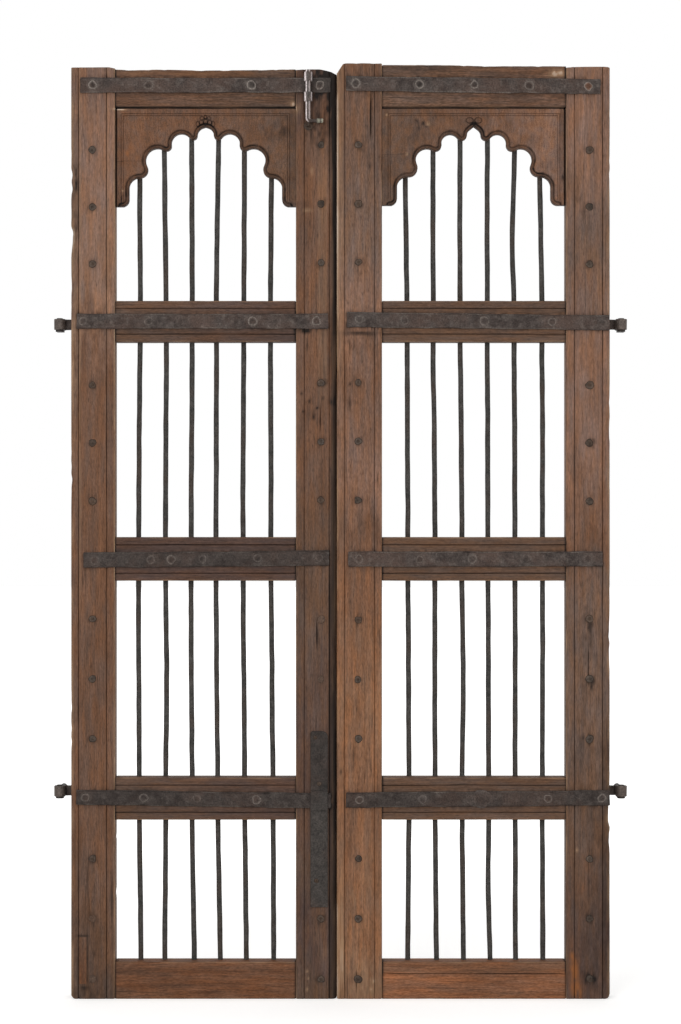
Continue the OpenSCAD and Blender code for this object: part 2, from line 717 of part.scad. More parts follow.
// Long plate, cranked over the lower strap
module long_plate() {
    low = strap_z(0) + (plate_u + plate_w / 2 - strap_mid(left, 0)) * tan(strap_tilt[left][0]);
    half = strap_w / 2 + eps;
    color(iron) place(left)
        difference() {
            union() {
                translate([plate_u, front - plate_t, plate_z])
                    cube([plate_w, plate_t, low - half - plate_z]);
                translate([plate_u, front, low + half])
                    rotate([90, 0, 0])
                        linear_extrude(plate_t)
                            polygon(plate_head(plate_z + plate_l - low - half));
                translate([plate_u, front - strap_t - plate_t, low - half - plate_t])
                    cube([plate_w, plate_t, 2 * (half + plate_t)]);
                for (z = [low - half - plate_t, low + half])
                    translate([plate_u, front - strap_t - plate_t, z])
                        cube([plate_w, strap_t + plate_t, plate_t]);
            }
            nail_holes(plate_nail_points, front - plate_t - eps, plate_t + 2 * eps);
        }
}

module plate_nails() {
    color(iron) place(left)
        for (p = plate_nail_points)
            translate([p[0], front - plate_t, p[1]]) {
                rotate([90, 0, 0])
                    cylinder(r1 = nail_t, r2 = nail_t * 0.6, h = nail_head_h / 2);
                translate([-nail_t / 2, 0, -nail_t / 2])
                    cube([nail_t, plate_t + nail_depth, nail_t]);
            }
}

module patch_block(grow) {
    translate([bead_w + groove_w / 2 - grow, front - (grow > 0 ? eps : 0), patch_z - grow])
        cube([patch_w + 2 * grow, patch_d + (grow > 0 ? eps : 0), patch_h + 2 * grow]);
}

module stile_patch() {
    color(pale_wood) place(left)
        difference() {
            patch_block(0);
            wood_holes(left);
        }
}

hinge_stile(left);  // left_hinge_stile
meeting_stile(left);  // left_meeting_stile
rail(left, 0);  // left_bottom_rail
rail(left, 1);  // left_lower_rail
rail(left, 2);  // left_middle_rail
rail(left, 3);  // left_upper_rail
rail(left, 4);  // left_top_rail
arch_board(left);  // left_arch_board
bar(left, 0);  // left_bar_1
bar(left, 1);  // left_bar_2
bar(left, 2);  // left_bar_3
bar(left, 3);  // left_bar_4
bar(left, 4);  // left_bar_5
bar(left, 5);  // left_bar_6
strap(left, 0);  // left_lower_strap
strap(left, 1);  // left_middle_strap
strap(left, 2);  // left_upper_strap
strap(left, 3);  // left_top_strap
strap_nails(left);  // left_strap_nails
stile_nails(left);  // left_stile_nails
hinge(left, 0);  // left_lower_hinge
hinge(left, 2);  // left_upper_hinge
hinge_nails_set(left);  // left_hinge_nails
stile_patch();
long_plate();
plate_nails();
bolt_staples();
bolt_stop();
bolt_rod();
hinge_stile(right);  // right_hinge_stile
meeting_stile(right);  // right_meeting_stile
rail(right, 0);  // right_bottom_rail
rail(right, 1);  // right_lower_rail
rail(right, 2);  // right_middle_rail
rail(right, 3);  // right_upper_rail
rail(right, 4);  // right_top_rail
arch_board(right);  // right_arch_board
bar(right, 0);  // right_bar_1
bar(right, 1);  // right_bar_2
bar(right, 2);  // right_bar_3
bar(right, 3);  // right_bar_4
bar(right, 4);  // right_bar_5
bar(right, 5);  // right_bar_6
strap(right, 0);  // right_lower_strap
strap(right, 1);  // right_middle_strap
strap(right, 2);  // right_upper_strap
strap(right, 3);  // right_top_strap
strap_nails(right);  // right_strap_nails
stile_nails(right);  // right_stile_nails
hinge(right, 0);  // right_lower_hinge
hinge(right, 2);  // right_upper_hinge
hinge_nails_set(right);  // right_hinge_nails
pintle(left, 0);  // left_lower_pintle
pintle(left, 2);  // left_upper_pintle
pintle(right, 0);  // right_lower_pintle
pintle(right, 2);  // right_upper_pintle
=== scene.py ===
import json
import math

import bmesh
import bpy
import numpy as np
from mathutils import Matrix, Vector


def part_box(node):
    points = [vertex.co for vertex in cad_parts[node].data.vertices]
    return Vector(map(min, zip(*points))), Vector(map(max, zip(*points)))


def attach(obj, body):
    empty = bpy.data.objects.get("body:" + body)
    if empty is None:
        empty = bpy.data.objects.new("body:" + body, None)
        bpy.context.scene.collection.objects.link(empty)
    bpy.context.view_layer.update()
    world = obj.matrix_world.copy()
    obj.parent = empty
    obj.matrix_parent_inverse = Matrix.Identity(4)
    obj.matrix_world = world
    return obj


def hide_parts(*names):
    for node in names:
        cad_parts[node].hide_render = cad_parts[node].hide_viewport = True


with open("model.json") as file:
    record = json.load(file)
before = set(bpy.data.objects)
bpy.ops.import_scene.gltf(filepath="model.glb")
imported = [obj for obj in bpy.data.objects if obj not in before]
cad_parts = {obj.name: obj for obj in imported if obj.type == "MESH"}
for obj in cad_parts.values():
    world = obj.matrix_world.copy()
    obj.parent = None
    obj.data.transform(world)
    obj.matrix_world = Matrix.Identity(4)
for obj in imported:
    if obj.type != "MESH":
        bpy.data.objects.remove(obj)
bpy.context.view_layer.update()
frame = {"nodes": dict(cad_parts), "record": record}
print("gate: %d CAD nodes in the frame" % len(frame["nodes"]))

scene = bpy.context.scene
scene.view_settings.view_transform = "Standard"

bodyOf = {n: b for b, names in frame["record"]["behaviour"]["bodies"].items() for n in names}
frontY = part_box("left_lower_rail")[0].y  # face of the stiles and rails
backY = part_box("left_lower_rail")[1].y
sides = ("left", "right")
mirror = {"left": 1, "right": -1}


def hexLinear(code):
    parts = [int(code[i:i + 2], 16) / 255 for i in (1, 3, 5)]
    return tuple(c / 12.92 if c <= 0.04045 else ((c + 0.055) / 1.055) ** 2.4 for c in parts) + (1.0,)


# links take a constant, a socket, or a node, which then gives its first output
def addNode(tree, kind, links=None, **settings):
    made = tree.nodes.new("ShaderNode" + kind)
    for key, value in settings.items():
        setattr(made, key, value)
    for key, value in (links or {}).items():
        if isinstance(value, bpy.types.Node):
            value = value.outputs[0]
        if isinstance(value, bpy.types.NodeSocket):
            tree.links.new(value, made.inputs[key])
        else:
            made.inputs[key].default_value = value
    return made


def startMaterial(name):
    material = bpy.data.materials.new(name)
    material.use_nodes = True
    material.node_tree.nodes.clear()
    return material, material.node_tree


# unevenness of hand work: smooth random hills from -1 to 1, the same on every run
def hills(x, y, z, seed):
    x, y, z = np.broadcast_arrays(np.asarray(x, float), np.asarray(y, float), np.asarray(z, float))
    cells = [np.floor(v) for v in (x, y, z)]
    parts = [v - c for v, c in zip((x, y, z), cells)]
    parts = [p * p * (3 - 2 * p) for p in parts]
    total = np.zeros(x.shape)
    for corner in range(8):
        weight = np.ones(x.shape)
        mix = np.full(x.shape, (seed * 2654435761) & 0xffffffff, np.uint64)
        for axis, prime in enumerate((73856093, 19349663, 83492791)):  # large primes scatter the cells
            step = corner >> axis & 1
            weight = weight * (parts[axis] if step else 1 - parts[axis])
            mix = mix ^ ((cells[axis] + step + 40000).astype(np.uint64) * np.uint64(prime))
        mix = mix & np.uint64(0xffffffff)
        for shift, prime in ((15, 2246822519), (13, 3266489917)):
            mix = ((mix ^ (mix >> np.uint64(shift))) * np.uint64(prime)) & np.uint64(0xffffffff)
        total += weight * (((mix ^ (mix >> np.uint64(16))) & np.uint64(0xffff)) / 32767.5 - 1)
    return total


def ray(angle):
    return np.array((math.cos(angle), math.sin(angle)))


def bearing(way):
    return math.atan2(way[1], way[0])


def titleOf(node):  # left_hinge_stile becomes LeftHingeStile
    return "".join(word.capitalize() for word in node.split("_"))


def hangPiece(name, mesh, material, node, paint=None, crease=38):
    if paint is not None:
        layer = mesh.color_attributes.new("paint", "FLOAT_COLOR", "POINT")
        shades = np.c_[np.clip(paint, 0, 2), np.ones(len(paint))].astype(np.float32)
        layer.data.foreach_set("color", shades.ravel())
    mesh.shade_smooth()
    mesh.set_sharp_from_angle(angle=math.radians(crease))
    mesh.materials.clear()
    mesh.materials.append(material)
    piece = bpy.data.objects.new(name, mesh)
    scene.collection.objects.link(piece)
    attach(piece, bodyOf[node])
    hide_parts(node)


def landPiece(name, verts, faces, material, node, paint=None, crease=38):
    mesh = bpy.data.meshes.new(name)
    mesh.from_pydata(np.asarray(verts).tolist(), [], faces)
    bm = bmesh.new()
    bm.from_mesh(mesh)
    bmesh.ops.recalc_face_normals(bm, faces=bm.faces)
    bm.to_mesh(mesh)
    bm.free()
    hangPiece(name, mesh, material, node, paint, crease)


def tubeFaces(rings, count, first=0, caps=True):
    k = np.arange(count)
    quads = []
    for r in range(rings - 1):
        a = first + r * count
        quads.append(np.c_[a + k, a + (k + 1) % count, a + count + (k + 1) % count, a + count + k])
    faces = np.concatenate(quads).tolist()
    if caps:
        faces += [(first + k).tolist(), (first + (rings - 1) * count + k).tolist()]
    return faces


nailApart = 0.02  # nails of one node stand farther apart than this


# centres of the separate nails that one CAD node holds
def headCentres(node):
    points = np.array([v.co for v in frame["nodes"][node].data.vertices])
    groups = []
    for p in points:
        for g in groups:
            if abs(p[0] - g[0][0]) < nailApart and abs(p[2] - g[0][2]) < nailApart:
                g.append(p)
                break
        else:
            groups.append([p])
    boxes = [(np.min(g, 0), np.max(g, 0)) for g in groups]
    return [((a[0] + b[0]) / 2, (a[2] + b[2]) / 2, (b[0] - a[0]) / 2, a[1], b[1]) for a, b in boxes]


# camera straight in front, a little above half the height of the gate
view = {"distance": 5.5, "height": 1.0958, "aside": 0.0, "frameHeight": 2.304, "sensor": 36}  # sensor in mm
camera = bpy.data.cameras.new("studioCamera")
camera.sensor_fit = "VERTICAL"
camera.sensor_height = view["sensor"]
camera.lens = view["sensor"] * view["distance"] / view["frameHeight"]
cameraStand = bpy.data.objects.new("studioCamera", camera)
cameraStand.location = (view["aside"], frontY - view["distance"], view["height"])
cameraStand.rotation_euler = (math.pi / 2, 0, 0)
scene.collection.objects.link(cameraStand)
scene.camera = cameraStand

# plain soft studio: white paper all round, two broad lamps in front, the left one stronger, a weak one above
studio = {"paper": "#f2f1ef", "sky": 0.36, "glowNear": 0.52, "glowFar": 0.95, "nearM": 0.9, "farM": 2.4,
          "floorHalf": 30, "floorDrop": 0.0005}
world = bpy.data.worlds.new("whiteStudio")
scene.world = world
world.use_nodes = True
sky = world.node_tree
sky.nodes.clear()


def seenRays(tree):  # rays that look at the paper, straight or by way of metal
    path = addNode(tree, "LightPath")
    seen = path.outputs["Is Camera Ray"]
    for kind in ("Is Glossy Ray", "Is Transmission Ray"):
        seen = addNode(tree, "Math", {0: seen, 1: path.outputs[kind]}, operation="MAXIMUM")
    return seen


strength = addNode(sky, "MapRange", {"Value": seenRays(sky), "To Min": studio["sky"], "To Max": 1.0})
paperLight = addNode(sky, "Background", {"Color": (1, 1, 1, 1), "Strength": strength})
addNode(sky, "OutputWorld", {"Surface": paperLight})

lamps = {  # place, aim, size in metres, watts
    "keyLamp": ((-3.0, -7.0, 3.0), (0, 0, 1.1), 3.6, 230),
    "fillLamp": ((3.6, -6.6, 1.7), (0, 0, 1.0), 3.6, 130),
    "topLamp": ((0.0, 0.6, 4.6), (0, 0, 0), 3.0, 40),
}
for name, (place, aim, size, watts) in lamps.items():
    lamp = bpy.data.lights.new(name, "AREA")
    lamp.size = size
    lamp.energy = watts
    stand = bpy.data.objects.new(name, lamp)
    stand.location = place
    stand.rotation_euler = (Vector(aim) - Vector(place)).to_track_quat("-Z", "Y").to_euler()
    scene.collection.objects.link(stand)

# matt white paper: almost no gloss, and far from the gate it glows white like the paper behind
paper, sheet = startMaterial("whitePaper")
away = addNode(sheet, "VectorMath", {0: addNode(sheet, "TexCoord").outputs["Object"]}, operation="LENGTH")
glow = addNode(sheet, "MapRange", {
    "Value": away.outputs["Value"], "From Min": studio["nearM"], "From Max": studio["farM"],
    "To Min": studio["glowNear"], "To Max": studio["glowFar"]}, interpolation_type="SMOOTHSTEP")
glow = addNode(sheet, "Math", {0: glow, 1: seenRays(sheet)}, operation="MULTIPLY")
paperFace = addNode(sheet, "BsdfPrincipled", {
    "Base Color": hexLinear(studio["paper"]), "Roughness": 0.9, "Specular IOR Level": 0.1,
    "Emission Color": (1, 1, 1, 1), "Emission Strength": glow})
addNode(sheet, "OutputMaterial", {"Surface": paperFace})
floorMesh = bpy.data.meshes.new("paperFloor")
floorCorners = [(a * studio["floorHalf"], b * studio["floorHalf"], 0)
                for a, b in ((-1, -1), (1, -1), (1, 1), (-1, 1))]
floorMesh.from_pydata(floorCorners, [], [(0, 1, 2, 3)])
floorMesh.materials.append(paper)
floor = bpy.data.objects.new("paperFloor", floorMesh)
floor.location.z = -studio["floorDrop"]
scene.collection.objects.link(floor)
print("gate: studio set")

# old teak, sawn and scraped by hand, oiled, darkened by smoke and handling, dry and pale where rubbed.
# It gives long streaks, short open pores, fine drying checks and a low broken sheen.
teakGrain = {  # mm across the grain, mm along it, detail; fibre and pores are drawn coarser than life to show
    "figure": (14, 320, 3), "fibre": (2.7, 60, 4), "blotch": (52, 110, 4), "warmth": (17, 100, 3),
    "fleck": (2.5, 9, 2), "pores": (1.9, 17, 1), "check": (24, 760, 3)}
# tints of the paint channels: rubbed also gives painted highlights, soot also gives painted shade
teakTints = {"rubbed": "#a58568", "bare": "#cdb7a4", "soot": "#1a1411", "fresh": "#8f5a34",
             "check": "#1b130e"}
teakTones = {"smoky": "#55423a", "dull": "#5f4a3d", "brown": "#694e3e", "warm": "#775641", "dry": "#7b5f50",
             "pale": "#846858", "grey": "#6b564a", "umber": "#6b4a36", "amber": "#805840", "tan": "#846149"}
toneRagged = 0.22  # how far one tone runs into the next, as a share of the board


def teakMaterial(name, along, tones, seed, streak=0.13, toneAxis=None, run=1.0, cracks=0.45):
    material, tree = startMaterial(name)
    coords = addNode(tree, "TexCoord").outputs["Object"]
    grain = {}
    for layer, (across, length, detail) in teakGrain.items():
        size = [1000 / across] * 3
        size[along] = 1000 / (length * run)
        placed = addNode(tree, "Mapping", {
            "Vector": coords, "Location": (seed * 7.31, seed * 3.17, seed * 5.71), "Scale": size})
        grain[layer] = addNode(tree, "TexNoise", {
            "Vector": placed, "Scale": 1.0, "Detail": detail, "Roughness": 0.6}).outputs["Fac"]
    # tone of the board along its length, with a ragged change from one to the next
    place = addNode(tree, "SeparateXYZ", {"Vector": coords}).outputs[along if toneAxis is None else toneAxis]
    low, high = tones[0][0], tones[-1][0]
    reach = toneRagged * (high - low)
    ragged = addNode(tree, "Math", {0: grain["blotch"], 1: reach, 2: place}, operation="MULTIPLY_ADD")
    share = addNode(tree, "MapRange", {
        "Value": ragged, "From Min": low + reach / 2, "From Max": high + reach / 2})
    ramp = addNode(tree, "ValToRGB", {"Fac": share})
    while len(ramp.color_ramp.elements) < len(tones):
        ramp.color_ramp.elements.new(0.5)
    for element, (where, tone) in zip(ramp.color_ramp.elements, tones):
        element.position = (where - low) / (high - low)
        element.color = hexLinear(teakTones[tone])
    # light and dark streaks, greyer in places and redder in others
    colour = ramp.outputs["Color"]
    for layer, times in (("figure", 1.0), ("fibre", 1.9), ("blotch", 1.0), ("fleck", 1.5)):
        level = addNode(tree, "MapRange", {
            "Value": grain[layer], "From Min": 0.3, "From Max": 0.7,
            "To Min": 1 - streak * times, "To Max": 1 + streak * times}, clamp=False)
        colour = addNode(tree, "VectorMath", {0: colour, "Scale": level}, operation="SCALE")
    greyer = addNode(tree, "VectorMath", {0: colour, 1: (0.95, 1.0, 1.08)}, operation="MULTIPLY")
    redder = addNode(tree, "VectorMath", {0: colour, 1: (1.12, 0.97, 0.81)}, operation="MULTIPLY")
    redHere = addNode(tree, "MapRange", {"Value": grain["warmth"], "From Min": 0.36, "From Max": 0.64})
    colour = addNode(tree, "Mix", {0: redHere, 6: greyer, 7: redder}, data_type="RGBA").outputs[2]
    poreDark = addNode(tree, "MapRange", {
        "Value": grain["pores"], "From Min": 0.58, "From Max": 0.74, "To Max": 0.42})
    offLine = addNode(tree, "Math", {0: grain["check"], 1: 0.5}, operation="SUBTRACT")
    offLine = addNode(tree, "Math", {0: offLine}, operation="ABSOLUTE")
    checkLine = addNode(tree, "MapRange", {
        "Value": offLine, "From Min": 0.004, "From Max": 0.013, "To Min": cracks, "To Max": 0.0})
    checkHere = addNode(tree, "MapRange", {"Value": grain["figure"], "From Min": 0.54, "From Max": 0.62})
    checkDark = addNode(tree, "Math", {0: checkLine, 1: checkHere}, operation="MULTIPLY")
    # paint on the mesh: red is rubbed wear and painted highlight, past one bare; green is soot, grease and
    # painted shade;
    # blue is fresh or orange wood
    hand = addNode(tree, "SeparateColor", {
        "Color": addNode(tree, "Attribute", attribute_name="paint").outputs["Color"]}).outputs
    patchy = addNode(tree, "MapRange", {
        "Value": grain["fibre"], "From Min": 0.36, "From Max": 0.62, "To Min": 0.35, "To Max": 1.0})
    rubbed = addNode(tree, "Math", {0: hand[0], 1: patchy}, operation="MULTIPLY")
    bare = addNode(tree, "MapRange", {"Value": hand[0], "From Min": 1.0, "From Max": 2.0})
    for amount, tint in ((poreDark, "soot"), (rubbed, "rubbed"), (hand[2], "fresh"), (bare, "bare"),
                         (hand[1], "soot"), (checkDark, "check")):
        mixed = {0: amount, 6: colour, 7: hexLinear(teakTints[tint])}
        colour = addNode(tree, "Mix", mixed, data_type="RGBA").outputs[2]
    gloss = addNode(tree, "MapRange", {
        "Value": grain["fibre"], "From Min": 0.3, "From Max": 0.7, "To Min": 0.56, "To Max": 0.74})
    rise = addNode(tree, "Math", {0: poreDark, 1: -0.8, 2: grain["fibre"]}, operation="MULTIPLY_ADD")
    rise = addNode(tree, "Math", {0: checkDark, 1: -1.2, 2: rise}, operation="MULTIPLY_ADD")
    bump = addNode(tree, "Bump", {"Height": rise, "Strength": 0.5, "Distance": 0.0009})
    face = addNode(tree, "BsdfPrincipled", {
        "Base Color": colour, "Roughness": gloss, "IOR": 1.46, "Specular IOR Level": 0.14, "Normal": bump})
    addNode(tree, "OutputMaterial", {"Surface": face})
    return material


# wrought iron, forged flat and left black: brown and grey oxide in patches, pitted, edges rubbed brighter
ironGrit = {"pit": 3.4, "patch": 18, "cloud": 90}  # mm
ironTints = {"bright": "#7d746d", "grime": "#191512", "odd": "#8c5a3c"}


def ironMaterial(name, dark, pale, rust, seed, metal=0.25, rough=0.58, shine=0.2, tints=ironTints):
    material, tree = startMaterial(name)
    coords = addNode(tree, "TexCoord").outputs["Object"]
    grit = {}
    for layer, size in ironGrit.items():
        placed = addNode(tree, "Mapping", {
            "Vector": coords, "Location": (seed * 2.3, seed * 4.1, seed * 1.7), "Scale": [1000 / size] * 3})
        grit[layer] = addNode(tree, "TexNoise", {
            "Vector": placed, "Scale": 1.0, "Detail": 4, "Roughness": 0.62}).outputs["Fac"]
    # paint on the mesh: red brightens for rubbed edges and painted highlights, green darkens for grime and
    # painted shade, blue is an odd tint
    hand = addNode(tree, "SeparateColor", {
        "Color": addNode(tree, "Attribute", attribute_name="paint").outputs["Color"]}).outputs
    paleHere = addNode(tree, "MapRange", {"Value": grit["patch"], "From Min": 0.36, "From Max": 0.66})
    rustHere = addNode(tree, "MapRange", {
        "Value": grit["cloud"], "From Min": 0.46, "From Max": 0.66, "To Max": 0.85})
    colour = hexLinear(dark)
    for amount, tint in ((paleHere, pale), (rustHere, rust), (hand[0], tints["bright"]),
                         (hand[1], tints["grime"]), (hand[2], tints["odd"])):
        mixed = {0: amount, 6: colour, 7: hexLinear(tint)}
        colour = addNode(tree, "Mix", mixed, data_type="RGBA").outputs[2]
    grain = addNode(tree, "MapRange", {
        "Value": grit["pit"], "From Min": 0.3, "From Max": 0.7, "To Min": 0.5, "To Max": 1.5}, clamp=False)
    colour = addNode(tree, "VectorMath", {0: colour, "Scale": grain}, operation="SCALE")
    gloss = addNode(tree, "MapRange", {
        "Value": grit["patch"], "From Min": 0.3, "From Max": 0.7,
        "To Min": rough + 0.14, "To Max": rough - 0.06})
    height = addNode(tree, "Math", {0: grit["patch"], 1: 1.5, 2: grit["pit"]}, operation="MULTIPLY_ADD")
    bump = addNode(tree, "Bump", {"Height": height, "Strength": 0.45, "Distance": 0.0012})
    face = addNode(tree, "BsdfPrincipled", {
        "Base Color": colour, "Roughness": gloss, "Metallic": metal, "Specular IOR Level": shine,
        "Normal": bump})
    addNode(tree, "OutputMaterial", {"Surface": face})
    return material


# straps: brown-black with a low sheen
strapIron = ironMaterial("forgedStrapIron", "#322a27", "#463e3a", "#4a3b34", 1)
# bars: greyer, dry and almost without shine
barIron = ironMaterial("drawnBarIron", "#3a3937", "#4e4b48", "#483f39", 2, metal=0.1, rough=0.7, shine=0.08)
# nails: darkest in their hollows, browner where they rust
nailIron = ironMaterial("forgedNailIron", "#2d241e", "#4a3d33", "#4a3526", 3)
# plate and pintles: an even black with little rust
plateIron = ironMaterial("blackPlateIron", "#2a2725", "#3a3532", "#3c322d", 4)
# bolt: handled smooth and paler; its bright tint is a painted highlight along the rod's sides
boltTints = {"bright": "#e6dad9", "grime": "#2a2522", "odd": "#c2c0ab"}
boltSteel = ironMaterial("handledBoltIron", "#4a4440", "#68605d", "#6a5145", 5, metal=0.1, rough=0.5,
                         tints=boltTints)
print("gate: finishes mixed")

# marks on the face of the wood, in mm: x, z, half width, half height, rubbed, soot, fresh
marks = [
    # left meeting stile: grime round the bolt, insect holes, checks and pale flecks
    (-44, 2040, 30, 75, 0, 1.1, 0), (-25, 2085, 26, 14, 0, 0.6, 0), (-50, 1945, 26, 14, 0, 0.5, 0),
    (-62, 1963, 12, 10, 0, 0.85, 0), (-63, 1322, 24, 30, 0, 0.45, 0), (-88, 1362, 3, 4, 0, 0.9, 0),
    (-70, 1345, 3, 5, 0, 0.9, 0), (-52, 1330, 3, 3, 0, 0.9, 0), (-40, 1352, 3, 4, 0, 0.8, 0),
    (-60, 1308, 3, 6, 0, 0.9, 0), (-84, 1322, 3, 3, 0, 0.8, 0), (-48, 1300, 5, 9, 0, 0.9, 0),
    (-19, 1343, 6, 9, 0, 0.9, 0), (-75, 1469, 2.4, 14, 0, 0.8, 0), (-52, 816, 2.4, 25, 0, 0.85, 0),
    (-50, 565, 5, 30, 0, 0.7, 0), (-78, 1502, 16, 5, 0, 0.95, 0), (-64, 1863, 3, 8, 0.6, 0, 0),
    (-75, 1775, 9, 4, 0.8, 0, 0), (-84, 1788, 14, 10, 0, 0.4, 0), (-75, 63, 2.4, 2.6, 0.9, 0, 0),
    (-73, 47, 2.4, 2.6, 0.9, 0, 0), (-75, 22, 2.4, 4, 0.9, 0, 0), (-96, 2004, 6, 9, 1.5, 0, 0.1),
    (-107, 2013, 8, 8, 1.5, 0, 0.1), (-35, 2010, 5, 24, 0, 0, 0.35),
    # right meeting stile: cracks, holes, a drip under a nail, a worn foot
    (69, 1986, 2.4, 54, 0, 0.85, 0), (66, 1874, 2.4, 7, 0, 0.8, 0), (21, 1467, 2.2, 16, 0, 0.7, 0),
    (21, 1384, 3, 4, 0, 0.9, 0), (21, 1340, 2.6, 14, 0, 0.8, 0), (30, 549, 3.5, 24, 0, 0.6, 0),
    (1, 511, 3, 7, 0, 0.7, 0), (27, 236, 2.5, 9, 0.5, 0, 0), (32, 218, 2.5, 9, 0.5, 0, 0),
    (44, 1498, 34, 4, 0, 0.95, 0), (66, 1493, 10, 6, 0, 0.7, 0), (38, 40, 44, 52, 0.5, 0, 0),
    (70, 25, 14, 26, 0.4, 0.3, 0), (75, 40, 3.5, 4, 0.9, 0, 0), (69, 22, 3.5, 4, 0.9, 0, 0),
    (60, 300, 30, 180, 0.15, 0, 0.08), (80, 640, 20, 120, 0.1, 0, 0.1),
    # right hinge stile: green-black stains, streaks from a nail, an orange foot
    (522, 95, 6, 30, 0, 0, 0.7), (527, 55, 10, 34, 0, 0, 0.9), (534, 20, 13, 24, 0, 0, 0.9),
    (543, 934, 5, 6, 0, 0.7, 0), (560, 832, 6, 32, 0, 0.55, 0), (563, 706, 13, 16, 0, 0.6, 0),
    (560, 800, 34, 96, 0, 0.3, 0), (534, 1800, 6, 7, 0, 0.8, 0), (548, 1771, 3, 15, 0, 0.55, 0),
    (540, 560, 24, 60, 0, 0.3, 0), (580, 420, 30, 180, 0, 0.22, 0), (570, 120, 40, 130, 0, 0.25, 0),
    (561, 48, 22, 20, 0, 0.5, 0), (532, 335, 3, 4, 0.8, 0, 0), (552, 306, 8, 22, 0, 0, 0.35),
    (545, 252, 10, 14, 0, 0, 0.35),
    # left hinge stile: chewed edge, a crack beside the inner bead, dark lines round the patch
    (-596, 1720, 9, 60, 0.3, 0.5, 0), (-597, 1845, 9, 48, 0.2, 0.7, 0), (-598, 1500, 8, 240, 0.4, 0, 0),
    (-560, 120, 40, 120, 0, 0.25, 0), (-514, 228, 2.4, 62, 0, 0.85, 0), (-582, 25, 26, 4.5, 0, 0.4, 0),
    (-592, 88, 1.6, 62, 0, 0.5, 0), (-569.5, 88, 1.8, 62, 0, 0.75, 0), (-580, 142, 14, 1.8, 0, 0.6, 0),
    (-560, 10, 60, 15, 0, 0.55, 0),
    # rails and arch boards
    (-490, 2060, 60, 12, 0, 0.35, 0), (488, 2082, 20, 8, 1.9, 0, 0.25), (-499, 2002, 14, 1.6, 3, 0, 0),
    (-440, 2083, 60, 4, 0.2, 0, 0.3), (-330, 2082, 50, 4, 0.2, 0, 0.25), (-210, 2082, 44, 5, 0.1, 0, 0.25),
    (-490, 1819, 2.2, 2.4, 1.2, 0, 0), (-493, 1800, 1.8, 10, 0, 0.9, 0), (104, 1990, 2.4, 2.4, 1.2, 0, 0),
    (330, 2090, 60, 4, 0.1, 0, 0.15), (200, 2092, 50, 5, 0, 0.3, 0), (-120, 1512, 44, 9, 0.2, 0.5, 0),
    (-138, 1955, 36, 22, 0, 0.6, 0), (-478, 1905, 14, 42, 0, 0, 0.4), (-452, 1920, 9, 30, 0, 0, 0.35),
    (183, 1971, 9, 6, 0, 1, 0), (170, 1978, 5, 5, 0, 0.8, 0), (176, 1960, 4, 6, 0, 0.6, 0),
    (194, 1963, 4, 3, 0, 0.6, 0), (198, 1969, 4, 5, 0.9, 0, 0), (176, 1946, 14, 8, 0, 0.3, 0),
    (150, 1902, 3, 3, 0.7, 0, 0), (503, 1852, 5, 16, 0, 0.9, 0),
]
strapTilt = {"left": (-0.8, 0.5, 0, 0), "right": (-0.5, 0, 0.7, 0.7)}  # degrees
strapOrder = ("lower", "middle", "upper", "top")
strapLines = []  # middle x, middle z, half length and slope of each strap
for side in sides:
    for order, tilt in zip(strapOrder, strapTilt[side]):
        lo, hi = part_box("%s_%s_strap" % (side, order))
        slope = math.tan(math.radians(tilt)) * mirror[side]
        strapLines.append(((lo.x + hi.x) / 2, (lo.z + hi.z) / 2, (hi.x - lo.x) / 2, slope))
woodNails = [c for side in sides for c in headCentres(side + "_stile_nails")]
strapNails = {side: headCentres(side + "_strap_nails") for side in sides}
faintNails = ((-570, 187), (-570, 45), (-50, 857), (-50, 727), (46, 1890))  # mm, worn to the wood's colour
faintReach = (45, 30)  # mm aside and up
# darkening round the nails, and painted shadow along the edges of the straps
stainsAndShade = {"faceTo": 0.012, "faceFade": 0.006, "nail": 0.55, "faintNail": 0.25, "nailReach": 0.0118,
          "strap": 0.5, "strapHalf": 0.017, "strapUnder": 0.012, "strapReach": 0.0055, "strapEnd": 0.004}


def isFaint(x, z):
    aside, up = faintReach
    return any(abs(x * 1000 - fx) < aside and abs(z * 1000 - fz) < up for fx, fz in faintNails)


